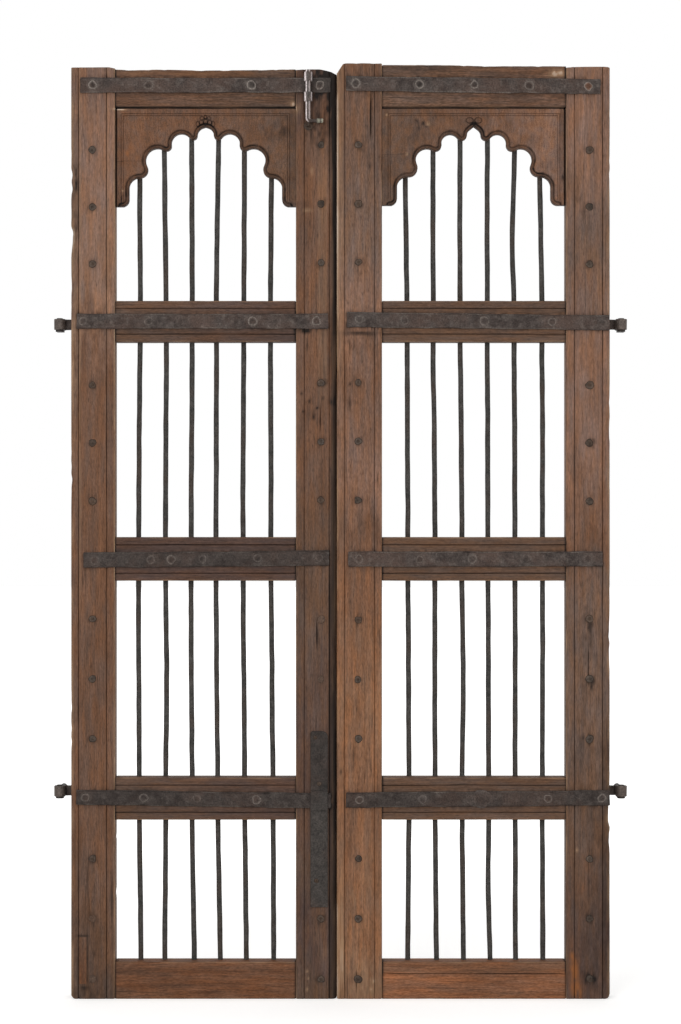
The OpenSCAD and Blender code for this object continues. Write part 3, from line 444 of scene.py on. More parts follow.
def paintWood(p, edge, line, seed):
    x, y, z = p[..., 0], p[..., 1], p[..., 2]
    front = np.clip((frontY + stainsAndShade["faceTo"] - y) / stainsAndShade["faceFade"], 0, 1)
    ragged = 0.62 + 0.75 * hills(x / 0.006, y / 0.02, z / 0.014, seed)
    ragged = np.clip(ragged + 0.3 * hills(x / 0.002, y / 0.02, z / 0.006, seed + 1), 0.1, 1.5)
    rubAndHighlight = edge * np.clip(0.42 + 0.6 * hills(x / 0.03, 0, z / 0.05, seed + 2), 0, 1)
    soot = line * np.clip(0.72 + 0.3 * hills(x / 0.05, 0, z / 0.05, seed + 3), 0.4, 1)
    fresh = np.zeros_like(x)
    for mx, mz, rx, rz, a, b, c in marks:
        weight = np.exp(-(((x * 1000 - mx) / rx) ** 2 + ((z * 1000 - mz) / rz) ** 2)) * front
        weight = weight * (ragged if min(rx, rz) > 4 else 1)  # small marks keep their shape
        rubAndHighlight, soot, fresh = rubAndHighlight + a * weight, soot + b * weight, fresh + c * weight
    lumps = 1 + 0.35 * hills(x / 0.007, 0, z / 0.007, seed + 4)
    for nx, nz in (nail[:2] for nail in woodNails):
        off = np.hypot(x - nx, z - nz) * lumps
        dark = stainsAndShade["faintNail"] if isFaint(nx, nz) else stainsAndShade["nail"]
        soot = soot + dark * np.exp(-(off / stainsAndShade["nailReach"]) ** 4) * front * ragged
    # painted shadow along both edges of each strap
    for sx, sz, half, slope in strapLines:
        off = np.abs(z - sz - (x - sx) * slope) - stainsAndShade["strapHalf"]
        near = np.clip((half + stainsAndShade["strapEnd"] - np.abs(x - sx)) / stainsAndShade["strapEnd"], 0, 1) * front
        grime = stainsAndShade["strap"] * np.exp(-np.clip(off, 0, 1) / stainsAndShade["strapReach"])
        soot = soot + grime * near * (off > -stainsAndShade["strapUnder"]) * ragged
    return np.c_[rubAndHighlight.ravel(), soot.ravel(), fresh.ravel()]


# plan of a board: rounded front edges, scratched grooves, small back edges, ends eased by a lip
plan = {"step": 0.0026, "groove": 0.0016, "grooveDeep": 0.0021, "check": 0.0012, "rear": 0.0025,
        "row": 0.004, "endIn": 0.002, "lip": 0.0007, "endEase": 0.0028, "lipEase": 0.0008, "faceDeep": 0.006}
wornBoard = {"crackEnd": 0.025, "crackDeep": 0.003, "crackWander": 0.0022, "least": 0.0004, "biteIn": 0.02,
             "biteEdge": 0.012, "biteDeep": 0.003, "joint": 0.0026, "stripSoft": 0.002, "stripEnd": 0.12,
             "stripDeep": 0.03}
groovePlan = ((-0.45, 0.7), (0, 1), (0.45, 0.7), (1, 0))  # across in half widths, share of the depth


def boardSection(width, depth, firstR, lastR, grooves, checks):
    spots = []  # across, deep, edge, groove, index of a check

    def roundEdge(middle, radius, start):
        for k in range(7):
            c, s = ray(start + k * math.pi / 12)
            worn = math.sin(k * math.pi / 6) ** 0.5 if 0 < k < 6 else 0.2
            spots.append((middle + radius * c, radius + radius * s, worn, 0, -1))

    roundEdge(firstR, firstR, math.pi)
    lines = [(g, plan["groove"], -1) for g in grooves]
    lines += [(c["across"], plan["check"], i) for i, c in enumerate(checks)]
    here = firstR
    for g, half, index in sorted(lines) + [(width - lastR + 0.001, 0.001, -2)]:  # the last is the far edge
        room = g - half - here
        count = max(2, int(room / plan["step"]) + 1)
        spots += [(here + room * k / count, 0, 0, 0, -1) for k in range(1, count + (index != -2))]
        if index != -2:
            for f, dep in groovePlan:
                isGroove = dep if index == -1 else 0
                spots.append((g + f * half, plan["grooveDeep"] * isGroove, 0, isGroove, index if dep else -1))
            here = g + half
    roundEdge(width - lastR, lastR, 1.5 * math.pi)
    rear = plan["rear"]
    spots += [(width, lastR + (depth - lastR - rear) * k / 5, 0, 0, -1) for k in range(1, 5)]
    spots += [(width, depth - rear, 0.4, 0, -1), (width - rear, depth, 0.4, 0, -1)]
    spots += [(width - rear - (width - 2 * rear) * k / 10, depth, 0, 0, -1) for k in range(1, 10)]
    spots += [(rear, depth, 0.4, 0, -1), (0, depth - rear, 0.4, 0, -1)]
    spots += [(0, depth - rear - (depth - firstR - rear) * k / 5, 0, 0, -1) for k in range(1, 5)]
    return np.array(spots)


def layBoard(board, along, seed):
    node = board["node"]
    lo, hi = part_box(node)
    across = 2 - along
    lean = board.get("lean", 0)  # slant of the meeting edges: positive swells the back, negative cuts it
    swell = board.get("swell", 0)  # laps a hair farther over its neighbour
    start, stop = lo[along] + board.get("hidden", 0), hi[along] - board.get("hidden", 0)
    length = stop - start
    width, depth = hi[across] - lo[across] - max(lean, 0) + swell, hi.y - lo.y
    checks = board.get("checks", [])
    spots = boardSection(width, depth, board["firstR"], board["lastR"], board["grooves"], checks)
    rows = np.linspace(plan["endIn"], length - plan["endIn"], int(length / plan["row"]))
    rise = np.concatenate([[0, plan["lip"]], rows, [length - plan["lip"], length]])
    l = rise[:, None] + 0 * spots[None, :, 0]  # l runs along the board, w across it and d into it
    w, d, edge, line = [spots[None, :, k] + 0 * l for k in range(4)]
    for i, c in enumerate(checks):  # drying cracks open and close along the grain
        mine = (spots[None, :, 4] == i) + 0 * l
        gape = np.clip(np.minimum(l - c["from"], c["to"] - l) / wornBoard["crackEnd"], 0, 1) * mine
        d = d + gape * c.get("deep", wornBoard["crackDeep"])
        line = line + gape
        w = w + mine * wornBoard["crackWander"] * hills(l / 0.05, 0, 0, seed + 40 + i)
    shrink = np.ones_like(rise)
    shrink[[0, -1]] = 1 - plan["endEase"] / depth
    shrink[[1, -2]] = 1 - plan["lipEase"] / depth
    d = depth / 2 + (d - depth / 2) * shrink[:, None]
    w = width / 2 + (w - width / 2) * (1 - (1 - shrink) * depth / width)[:, None]
    isFront = (spots[None, :, 1] < plan["faceDeep"]) + 0 * l
    wander = 0.0007 * hills(l / 0.07, 0, 0, seed) + 0.0003 * hills(l / 0.02, 0, 0, seed + 1)
    w = w + (line > 0.2) * wander
    uneven = 0.00035 * hills(l / 0.1, w / 0.02, 0, seed + 2)
    uneven = uneven + 0.0002 * hills(l / 0.03, w / 0.006, 0, seed + 3)
    d = d + isFront * uneven
    firstSide = (w < width / 2) + 0 * l
    chip = hills(l / 0.035, firstSide * 9, 0, seed + 4) + 0.5 * hills(l / 0.011, firstSide * 9, 0, seed + 5)
    wear = edge * isFront * (board["chew"] * np.clip(chip - 0.15, 0, 1) + wornBoard["least"])
    d = d + wear * 0.8
    w = w + wear * np.where(firstSide > 0, 1, -1) * 0.8
    for at, reach, deep, first in board.get("bites", []):  # chewed stretches of an edge
        bite = np.clip(0.55 + 0.8 * hills(l / 0.016, 3, 0, seed + 6), 0, 1.3)
        bite = deep * bite * np.exp(-((l + start - at) / reach) ** 2)
        inward = w if first else width - w
        w = w + bite * np.clip(1 - inward / wornBoard["biteIn"], 0, 1) * (1 if first else -1)
        near = np.clip(1 - inward / wornBoard["biteEdge"], 0, 1)
        edge = edge + near * np.clip(bite / wornBoard["biteDeep"], 0, 1) * isFront
    slant = d / depth * (w / width if lean > 0 else 1 - w / width)
    p = np.zeros(l.shape + (3,))
    p[..., along] = l + start
    p[..., across] = w + lo[across] - swell + abs(lean) * slant
    p[..., 1] = d + lo.y
    if "top" in board:  # worn ends and top edges, as a drop below the CAD's top
        drop = np.interp(p[..., 0], *np.array(board["top"]).T / 1000)
        drop = drop + np.clip(0.0012 * hills(p[..., 0] / 0.012, d / 0.02, 0, seed + 7), 0, 1)
        p[..., 2] = np.minimum(p[..., 2], hi.z - drop)
    if "foot" in board:
        lift = np.interp(p[..., 0], *np.array(board["foot"]).T / 1000)
        p[..., 2] = np.maximum(p[..., 2], lo.z + lift)
    joint = np.exp(-(np.minimum(l, length - l) / wornBoard["joint"]) ** 2) if along == 0 else 0 * l
    dark = np.clip(board.get("lineDark", 0.85) * line + 1.3 * joint, 0, 1.3)
    paint = paintWood(p, edge, dark, seed + 20)
    for low, high, begin, end, *shade in board.get("margins", []):  # long strips of another shade
        inside = np.clip(np.minimum(w - low, high - w) / wornBoard["stripSoft"] + 0.5, 0, 1)
        inside = inside * (d < wornBoard["stripDeep"])
        fromEnd = np.minimum(l + start - begin, end - l - start)
        inside = inside * np.clip(fromEnd / wornBoard["stripEnd"] + 0.5, 0, 1)
        inside = inside * np.clip(0.9 + 0.25 * hills(l / 0.08, w / 0.01, 0, seed + 8), 0, 1)
        paint += inside.ravel()[:, None] * np.array(shade)
    title = titleOf(node)
    material = teakMaterial("teak" + title, along, board["tones"], seed, board.get("streak", 0.13))
    faces = tubeFaces(len(rise), spots.shape[0])
    landPiece(title[0].lower() + title[1:], p.reshape(-1, 3), faces, material, node, paint)


# Lengths across a board, radii and heights are in metres, tops and feet in mm.
# A margin is a strip: from and to across, from and to along, rubbed wear and painted highlight, soot and
# painted shade, fresh.
# A bite is its place along the edge, reach, depth, and whether it is on the first edge.
stiles = [
    {"node": "left_hinge_stile", "chew": 0.0022, "firstR": 0.006, "lastR": 0.002, "grooves": [0.017, 0.080],
     "tones": [(0.0, "dull"), (0.4, "brown"), (1.46, "brown"), (1.58, "pale"), (2.097, "dry")],
     # the inner arris is lightened as a painted highlight over its wear
     "margins": [(0.0965, 0.2, -1, 3, 0.45, 0, 0), (0.0182, 0.0215, 0.9, 3, 0.45, 0, 0),
                 (0.0812, 0.084, 1.5, 3, 0.35, 0, 0), (-1, 0.0165, 1.5, 3, 0, 0.25, 0)],
     "bites": [(1.71, 0.022, 0.008, True), (1.82, 0.06, 0.003, True), (1.60, 0.03, 0.003, True),
               (0.62, 0.05, 0.002, True), (1.18, 0.04, 0.002, True), (0.353, 0.008, 0.004, False),
               (0.234, 0.008, 0.004, False)],
     "top": [(-607, 0), (-560, 0.5), (-520, 0), (-507, 2.5)],
     "foot": [(-607, 8), (-602, 2.5), (-598, 0)]},
    {"node": "left_meeting_stile", "chew": 0.0016, "firstR": 0.002, "lastR": 0.009,
     "grooves": [0.019, 0.0752], "lean": 0.0039, "lineDark": 0.6,
     # the rounded meeting edge is darkened as painted shade where it turns into the gap behind the right leaf
     "margins": [(0.074, 0.2, -1, 0.42, 0, 0.68, 0), (0.074, 0.2, 0.42, 0.55, 0, 0.95, 0),
                 (0.074, 0.2, 0.55, 0.98, 0, 0.8, 0), (0.078, 0.2, 0.98, 1.52, 0, 0.66, 0),
                 (0.076, 0.2, 1.52, 3, 0, 0.35, 0), (0.081, 0.2, 1.52, 3, 0, 0.45, 0),
                 (0.083, 0.2, -1, 3, 0, 0.25, 0), (0.070, 0.2, 1.92, 3, 0, 0.5, 0),
                 (0.050, 0.070, 1.36, 1.9, 0.2, 0, 0)],
     "tones": [(0.0, "dull"), (0.1, "smoky"), (0.25, "dull"), (0.5, "smoky"), (0.92, "dull"), (1.3, "brown"),
               (1.9, "brown"), (2.092, "smoky")],
     "top": [(-101, 1), (-70, 0), (-46.5, 0), (-25, 5), (-10.5, 10)],
     "checks": [{"across": 0.047, "from": 0.78, "to": 0.86},
                {"across": 0.055, "from": 1.27, "to": 1.34, "deep": 0.004}]},
    {"node": "right_meeting_stile", "chew": 0.0020, "firstR": 0.004, "lastR": 0.002,
     "grooves": [0.018, 0.0855], "lean": -0.0039, "swell": 0.0014, "lineDark": 0.55, "streak": 0.15,
     # its left arris carries a painted highlight above 1.45 m
     "margins": [(-1, 0.016, -1, 3, 0.12, 0, 0.08), (-1, 0.0045, 1.45, 3, 0.9, 0, 0),
                 (-1, 0.016, 1.45, 3, 0.2, 0, 0), (-1, 0.017, 0.06, 0.16, 0.8, 0, 0),
                 (-1, 0.017, -1, 0.33, 0.3, 0, 0), (-1, 0.2, -1, 0.06, 0.12, 0, 0)],
     "tones": [(0.0, "warm"), (0.15, "tan"), (0.42, "warm"), (0.65, "tan"), (0.9, "warm"), (1.05, "brown"),
               (1.2, "dry"), (1.42, "brown"), (1.58, "dry"), (1.75, "grey"), (2.104, "brown")],
     "bites": [(1.42, 0.05, 0.0006, True)],
     "top": [(-7.5, 22), (5.5, 2), (12, 0.5), (40, 0), (94, 1)],
     "checks": [{"across": 0.076, "from": 1.93, "to": 2.04, "deep": 0.004},
                {"across": 0.045, "from": 0.0, "to": 0.08, "deep": 0.002}]},
    {"node": "right_hinge_stile", "chew": 0.0022, "firstR": 0.002, "lastR": 0.006, "grooves": [0.019, 0.082],
     "margins": [(0.083, 0.2, -1, 0.64, 0, 0.35, 0)],
     "tones": [(0.0, "smoky"), (0.4, "dull"), (0.7, "grey"), (0.93, "grey"), (1.0, "brown"), (1.25, "dry"),
               (1.5, "dry"), (1.68, "grey"), (1.9, "dry"), (2.098, "dry")],
     "bites": [(0.40, 0.06, 0.003, False), (1.30, 0.05, 0.002, False), (0.8, 0.05, 0.0025, False),
               (1.86, 0.04, 0.002, False)],
     "top": [(507, 1), (560, 0), (600, 0), (607, 2)],
     "foot": [(594.5, 0), (600.5, 1.6), (604, 4.5), (606.5, 12)],
     "checks": [{"across": 0.05, "from": 0.70, "to": 0.80, "deep": 0.003}]},
]
for number, board in enumerate(stiles):
    layBoard(board, 2, 101 + number)
print("gate: stiles laid")

rails = {"tenon": 0.055, "bead": 0.017, "arris": 0.002, "chew": 0.0016,
         "streak": {"bottom": 0.18, "top": 0.22}}
railTones = {  # from the hinge stile to the meeting stile
    "left_bottom": ("umber", "umber"), "left_lower": ("dull", "smoky"), "left_middle": ("smoky", "smoky"),
    "left_upper": ("dull", "smoky"), "left_top": ("brown", "dull"), "right_bottom": ("amber", "amber"),
    "right_lower": ("dull", "dull"), "right_middle": ("dull", "dull"), "right_upper": ("dull", "dull"),
    "right_top": ("brown", "dull")}
jointDark = (-1, 0.0024, -1, 1, 0, 0.9, 0)  # shut line over an arch board
railExtras = {
    "left_top": {"margins": [jointDark, (-1, 0.033, -1, 1, 0, 0.15, 0), (0.064, 0.2, -1, 1, 0, 0.12, 0)],
                 "top": [(-508, 0), (-474, 2.2), (-406, 0.4), (-316, 3), (-204, 2), (-114, 0)]},
    "right_top": {"margins": [jointDark, (0.064, 0.2, -1, 1, 0, 0.12, 0)],
                  "top": [(94, 0), (179, 0), (246, 0.7), (314, 3), (404, 3.2), (516, 3.2)]},
    "left_upper": {"margins": [(-1, 0.028, -1, 1, 0, 0.12, 0)]},
    "right_upper": {"margins": [(0.064, 0.2, -1, 1, 0, 0.12, 0)]},
    "left_middle": {"margins": [(0.068, 0.2, -1, 1, 0, 0.17, 0)]},
    "left_lower": {"margins": [(-1, 0.028, -1, 1, 0, 0.16, 0)]},
    "right_bottom": {"checks": [{"across": 0.057, "from": 0.0, "to": 0.42, "deep": 0.004}],
                     "margins": [(0.058, 0.2, -1, 1, 0.1, 0.28, 0)]}}
for number, (name, tones) in enumerate(railTones.items()):
    side, level = name.split("_")
    lo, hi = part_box(name + "_rail")
    first, last = tones[::mirror[side]]
    beads = [] if level in ("bottom", "top") else [rails["bead"], hi.z - lo.z - rails["bead"]]
    board = {"node": name + "_rail", "chew": rails["chew"], "hidden": rails["tenon"],
             "firstR": rails["arris"], "lastR": rails["arris"], "grooves": beads,
             "tones": [(lo.x + rails["tenon"], first), (hi.x - rails["tenon"], last)],
             "streak": rails["streak"].get(level, 0.13)}
    layBoard({**board, **railExtras.get(name, {})}, 0, 120 + number)
print("gate: rails laid")

# cusped arch boards, carved: a rolled edge along the lobes, scratched border lines, a finial on the apex
arch = {"steps": {"left": (0, 0.937, 1.858, 2.563), "right": (0, 0.9, 1.79, 2.53)},  # in spaces between bars
        "rises": (0.722, 0.64, 0.469, 0.188),  # in heights of the board
        "sizes": {"left": (0.318, 0.387, 0.464, 0.401), "right": (0.262, 0.335, 0.423, 0.397)},
        "apex": {"left": 1, "right": 4}, "apexAngle": {"left": 78, "right": 55}, "spaces": 7,
        "ease": (1.4, 3.5, 6), "foot": 16, "tongue": 8, "clear": 0.4, "cell": 1.5,  # mm
        "fine": 0.75, "fineAside": 24, "fineBelow": 2, "fineAbove": 28, "room": 0.4,
        "borders": (13.4, 17.9), "lineHalf": 1.0, "lineDeep": 1.6, "shutLine": 2.4, "shutDeep": 4,
        "gap": 4.4, "gapCells": (4.0, 4.5), "gapDeep": 18, "sag": 2.4, "sagLong": 32}
rolledEdge = ((0, 1.9), (1, 0.7), (2.6, 0.1), (4.2, 0.25), (5.4, 1.2), (6.2, 2.8), (7.4, 2.8), (8.6, 0.9),
              (11, 0.25), (16, 0))  # mm from the arch, mm deep
# painted shade along the rolled edge of the arch and down its carved groove
edgeShade = ((0, 0.95), (1.2, 0.8), (2.8, 0.6), (4.2, 0.65), (5.2, 1.1), (7.8, 1.1), (8.8, 0.35), (10, 0.1),
            (13, 0))  # mm from the arch, how dark
finials = {  # rings over the apex: aside, up, half width, half height in mm
    "left": ((0, 10, 4.5, 7), (-9.5, 8.5, 5, 5), (9.5, 8.5, 5, 5), (-17, 5.5, 4, 6), (17, 5.5, 4, 6),
             (-8, 18.5, 4.5, 3.5), (8, 18.5, 4.5, 3.5), (0, 21, 3, 4)),
    "right": ((-9.8, 13, 8, 6.2), (9.8, 13, 8, 6.2), (0, 5.5, 2.5, 3.5))}
paleDot = {"left": 22.5, "right": 5}  # a pale spot, mm over the apex
archTones = {"left": ("brown", "brown", "dull"), "right": ("dull", "brown", "dry")}
seamZ = {"left": 105, "right": 118}  # mm up, a faint glue line across the left foot of each board
tongue = {"in": 0.0004, "out": 0.0144, "near": 0.009, "far": 0.017, "low": 0.0005, "high": 0.003}
boxFaces = ((0, 1, 3, 2), (4, 6, 7, 5), (0, 4, 5, 1), (2, 3, 7, 6), (0, 2, 6, 4), (1, 5, 7, 3))


# outline from foot to foot: lobes, round noses between them, a raised apex
def archLine(side, pitch, height):
    centres = [np.array((s * pitch, r * height)) for s, r in zip(arch["steps"][side], arch["rises"])]
    radii = [s * pitch for s in arch["sizes"][side]]
    noses = []
    for i in range(3):
        gap = np.linalg.norm(centres[i + 1] - centres[i])
        soft = max(0, (gap - radii[i] - radii[i + 1]) / 2) + arch["ease"][i]
        ra, rb = radii[i] + soft, radii[i + 1] + soft
        way = (centres[i + 1] - centres[i]) / gap
        run = (ra * ra - rb * rb + gap * gap) / (2 * gap)
        up = math.sqrt(max(0, ra * ra - run * run))
        noses.append((centres[i] + run * way + up * np.array((-way[1], way[0])), soft))
    half = [centres[0] + (0, radii[0] + arch["apex"][side])]
    for i in range(4):
        a0 = math.radians(arch["apexAngle"][side]) if i == 0 else bearing(noses[i - 1][0] - centres[i])
        a1 = 0 if i == 3 else bearing(noses[i][0] - centres[i])
        half += [centres[i] + radii[i] * ray(a) for a in np.linspace(a0, a1, 19)]
        if i < 3:
            middle, soft = noses[i]
            turns = [bearing(c - middle) for c in (centres[i], centres[i + 1])]
            turns = [b - 2 * math.pi if b > 0 else b for b in turns]
            half += [middle + soft * ray(b) for b in np.linspace(*turns, 9)[1:-1]]
    foot = np.array((centres[3][0] + radii[3] + arch["foot"], arch["foot"]))
    half += [foot + arch["foot"] * ray(a) for a in np.linspace(math.pi, 1.5 * math.pi, 11)]
    half = np.array(half)
    return np.concatenate([(half * (-1, 1))[:0:-1], half])


# distance of grid points from the arch, below zero in its opening, and the nearest point on it
def archDistance(outline, x, z):
    best = np.full(x.shape, 1e9)
    nearX, nearZ = np.zeros(x.shape), np.zeros(x.shape)
    inOpening = np.zeros(x.shape, bool)
    ends = np.array([(outline[0][0], -9), *outline, (outline[-1][0], -9)])
    for number, (p, q) in enumerate(zip(ends[:-1], ends[1:])):
        way = q - p
        if way[1] != 0:
            crosses = (p[1] > z) != (q[1] > z)
            inOpening ^= crosses & (x < way[0] * (z - p[1]) / way[1] + p[0])
        if 0 < number < len(ends) - 2:
            t = np.clip(((x - p[0]) * way[0] + (z - p[1]) * way[1]) / max(way @ way, 1e-9), 0, 1)
            px, pz = p[0] + t * way[0], p[1] + t * way[1]
            off = np.hypot(x - px, z - pz)
            closer = off < best
            best = np.where(closer, off, best)
            nearX, nearZ = np.where(closer, px, nearX), np.where(closer, pz, nearZ)
    return np.where(inOpening, -best, best), nearX, nearZ


for number, side in enumerate(sides):
    node = side + "_arch_board"
    lo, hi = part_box(node)
    height = (hi.z - lo.z) * 1000
    light = (hi.x - lo.x) * 1000 - 2 * arch["tongue"]
    middle = (lo.x + hi.x) * 500
    half = light / 2 - arch["clear"]
    outline = archLine(side, light / arch["spaces"], height)
    apexZ = outline[:, 1].max()
    # grid of the face, finer round the finial and at the carved lines
    lines = np.array([i + o for i in arch["borders"] for o in (-arch["lineHalf"], 0, arch["lineHalf"])])
    besides = np.r_[lines, arch["gapCells"]]
    fineX = np.arange(-arch["fineAside"], arch["fineAside"], arch["fine"])
    fineZ = np.arange(apexZ - arch["fineBelow"], apexZ + arch["fineAbove"], arch["fine"])
    xs = np.r_[np.arange(-half, half, arch["cell"]), fineX, half - besides, besides - half]
    zs = np.r_[np.arange(0, height, arch["cell"]), fineZ, height - lines]
    xs, zs = np.unique(np.round(2 * xs) / 2), np.unique(np.round(2 * zs) / 2)
    room = arch["room"]  # no grid line runs closer to an edge
    xs = np.r_[-half, xs[(xs > room - half) & (xs < half - room)], half]
    zs = np.r_[0, zs[(zs > room) & (zs < height - room)], height]
    x, z = np.meshgrid(xs, zs, indexing="ij")
    away, nearX, nearZ = archDistance(outline, x, z)
    kept = (away[:-1, :-1] + away[1:, :-1] + away[1:, 1:] + away[:-1, 1:]) > 0
    used, dropped = np.zeros(x.shape, bool), np.zeros(x.shape, bool)
    for i in (0, 1):
        for j in (0, 1):
            corner = (slice(i, i + len(xs) - 1), slice(j, j + len(zs) - 1))
            used[corner] |= kept
            dropped[corner] |= ~kept
    rim = used & dropped  # grid points beside the opening move onto the arch
    x, z, away = np.where(rim, nearX, x), np.where(rim, nearZ, z), np.where(rim, 0, away)
    # relief of the face, its grime and painted shade
    deep = np.interp(away, *np.array(rolledEdge).T)
    soot = np.interp(away, *np.array(edgeShade).T)
    soot = soot * np.clip(0.9 + 0.3 * hills(x / 9, z / 9, 1, 310 + number), 0, 1.1)
    inside = np.minimum(np.minimum(x + half, half - x), height - z)
    clear = np.clip((away - 9) / 2, 0, 1) * np.clip((z - 8) / 3, 0, 1)
    for inset in arch["borders"]:
        cut = np.clip(1 - np.abs(inside - inset) / arch["lineHalf"], 0, 1) * clear
        deep, soot = deep + arch["lineDeep"] * cut, soot + 0.75 * cut
    for cx, cz, rx, rz in finials[side]:
        ring = np.hypot((x - cx) / rx, (z - apexZ - cz) / rz)
        cut = np.clip(1.25 - np.abs(ring - 1) * min(rx, rz) / 1.1, 0, 1)
        deep, soot = deep + 1.2 * cut - 0.6 * np.clip(1 - ring * ring, 0, 1), soot + 0.65 * cut
    soot = soot + 0.3 * np.exp(-((x / 20) ** 2 + ((z - apexZ - 10) / 11) ** 2))
    shut = np.clip((arch["shutLine"] - height + z) / 0.8, 0, 1)  # shut line under the rail
    deep, soot = deep + arch["shutDeep"] * shut, soot + 0.9 * shut
    seam = np.abs(z - seamZ[side] - 0.02 * x) < 0.8
    soot = soot + 0.5 * seam * (x < 62 - half)
    fromStile = half + mirror[side] * x  # the board has shrunk away from its hinge stile
    # the gap is set deep and painted black as the shade in it
    gape = np.clip((arch["gap"] - fromStile) / 0.4, 0, 1)
    deep, soot = deep + arch["gapDeep"] * gape, soot + 2 * gape
    soot = soot + 0.22 * (half - np.abs(x) < arch["borders"][0])  # strips beyond the border lines are darker
    if side == "right":
        soot = soot + 0.2 * (half - x < arch["borders"][0])
    deep = deep + 0.3 * hills(x / 30, z / 16, 2, 320 + number) * (away > 8)
    rubAndHighlight = 0.3 * np.clip(hills(x / 12, z / 5, 3, 330 + number), 0, 1) * (inside < 3)
    rubAndHighlight = rubAndHighlight + np.exp(-((x / 1.8) ** 2 + ((z - apexZ - paleDot[side]) / 2.2) ** 2))
    if side == "left":  # light shows over the left board's corner
        sag = np.clip((z - height + 3.4) / 3, 0, 1) * np.clip(1 - (x + half) / arch["sagLong"], 0, 1)
        z = z - arch["sag"] * sag
    index = np.cumsum(used.ravel()).reshape(used.shape) - 1
    count = int(used.sum())
    frontFace = np.stack([x + middle, deep + lo.y * 1000, z + lo.z * 1000], -1)[used] / 1000
    backFace = np.stack([x + middle, 0 * x + hi.y * 1000, z + lo.z * 1000], -1)[used] / 1000
    corners = np.stack([index[:-1, :-1], index[1:, :-1], index[1:, 1:], index[:-1, 1:]], -1)[kept]
    # the rim of the face runs back to the other side, which is flat
    steps = {}
    for ring in np.concatenate([corners[:, [k, (k + 1) % 4]] for k in range(4)]).tolist():
        steps[tuple(ring)] = True
    follow = {a: b for a, b in steps if (b, a) not in steps}
    loop = [min(follow)]
    while follow[loop[-1]] != loop[0]:
        loop.append(follow[loop[-1]])
    walls = [(a, b, count + (k + 1) % len(loop), count + k)
             for k, (a, b) in enumerate(zip(loop, loop[1:] + loop[:1]))]
    verts = np.concatenate([frontFace, backFace[loop]])
    faces = corners.tolist() + walls + [[count + k for k in range(len(loop))][::-1]]
    face = paintWood(frontFace, rubAndHighlight[used], soot[used], 340 + number)
    paint = np.concatenate([face, np.tile((0, 0.3, 0), (len(loop), 1))])
    # tongues that sit in the stiles, painted dark as the shade of the gap
    for x0, x1 in ((lo.x + tongue["in"], lo.x + tongue["out"]), (hi.x - tongue["out"], hi.x - tongue["in"])):
        first = len(verts)
        box = [(a, b, c) for a in (x0, x1) for b in (lo.y + tongue["near"], lo.y + tongue["far"])
               for c in (lo.z + tongue["low"], hi.z - tongue["high"])]
        verts = np.concatenate([verts, box])
        paint = np.concatenate([paint, np.tile((0, 0.8, 0), (8, 1))])
        faces += [[first + k for k in f] for f in boxFaces]
    tones = list(zip(np.linspace(lo.x, hi.x, 3), archTones[side]))
    finish = teakMaterial("teak" + titleOf(node), 2, tones, 140 + number, streak=0.15, toneAxis=0, run=0.25,
                          cracks=0.0)
    landPiece(side + "ArchBoard", verts, faces, finish, node, paint)
print("gate: arch boards carved")

# round bars, drawn by hand: smooth bends, slightly uneven thickness
bars = {"count": 6, "around": 14, "step": 0.014, "uneven": 0.0004, "swell": 0.0003, "smooth": 9,
        "bend": 0.0006, "kink": 0.0003}
for side in sides:
    for number in range(1, bars["count"] + 1):
        node = "%s_bar_%d" % (side, number)
        points = np.array([v.co for v in frame["nodes"][node].data.vertices])
        levels = np.unique(np.round(points[:, 2], 4))
        rows = [points[np.abs(points[:, 2] - z) < 0.0002] for z in levels]
        middles = np.array([(r.min(0) + r.max(0)) / 2 for r in rows])
        radius = (rows[0][:, 0].max() - rows[0][:, 0].min()) / 2 + bars["swell"]
        z = np.linspace(levels[0], levels[-1], int((levels[-1] - levels[0]) / bars["step"]))
        x = np.interp(z, middles[:, 2], middles[:, 0])
        ends = bars["smooth"] // 2
        x = np.r_[[x[0]] * ends, x, [x[-1]] * ends]
        x = np.convolve(x, np.ones(bars["smooth"]) / bars["smooth"], "valid")
        seed = 400 + number + (10 if side == "right" else 0)
        x = x + bars["bend"] * hills(z / 0.16, 0, 0, seed) + bars["kink"] * hills(z / 0.05, 0, 0, seed + 50)
        angle = np.arange(bars["around"]) * 2 * math.pi / bars["around"]
        lumps = hills(z[:, None] / 0.03, np.cos(angle) * 0.8, np.sin(angle) * 0.8, seed + 90)
        thick = radius + bars["uneven"] * lumps
        p = np.stack([x[:, None] + thick * np.cos(angle), middles[0, 1] + thick * np.sin(angle),
                      z[:, None] + 0 * angle], -1)
        faces = tubeFaces(len(z), bars["around"])
        landPiece("%sBar%d" % (side, number), p.reshape(-1, 3), faces, barIron, node)
print("gate: bars set")

# flat straps, forged: wavy edges, soft arrises
forged = {"thick": 0.005, "wide": 0.034, "wavy": 0.0007, "step": 0.0032, "arris": 0.0012,
          "endIn": 0.0025, "lip": 0.0008, "faceSteps": 12}
strapGrime = {"leftLowerStrap": 0.3, "leftMiddleStrap": 0.3, "rightLowerStrap": 0.26}
nailRing = {"radius": 0.0105, "reach": 0.003, "top": 0.3, "lower": 0.15}  # hammered rings round the nails
boltGrime = {"from": -0.09, "over": 0.02, "soot": 0.55}  # where the top strap passes behind the bolt
topLight = 2.0  # straps and nails above this height are rubbed more


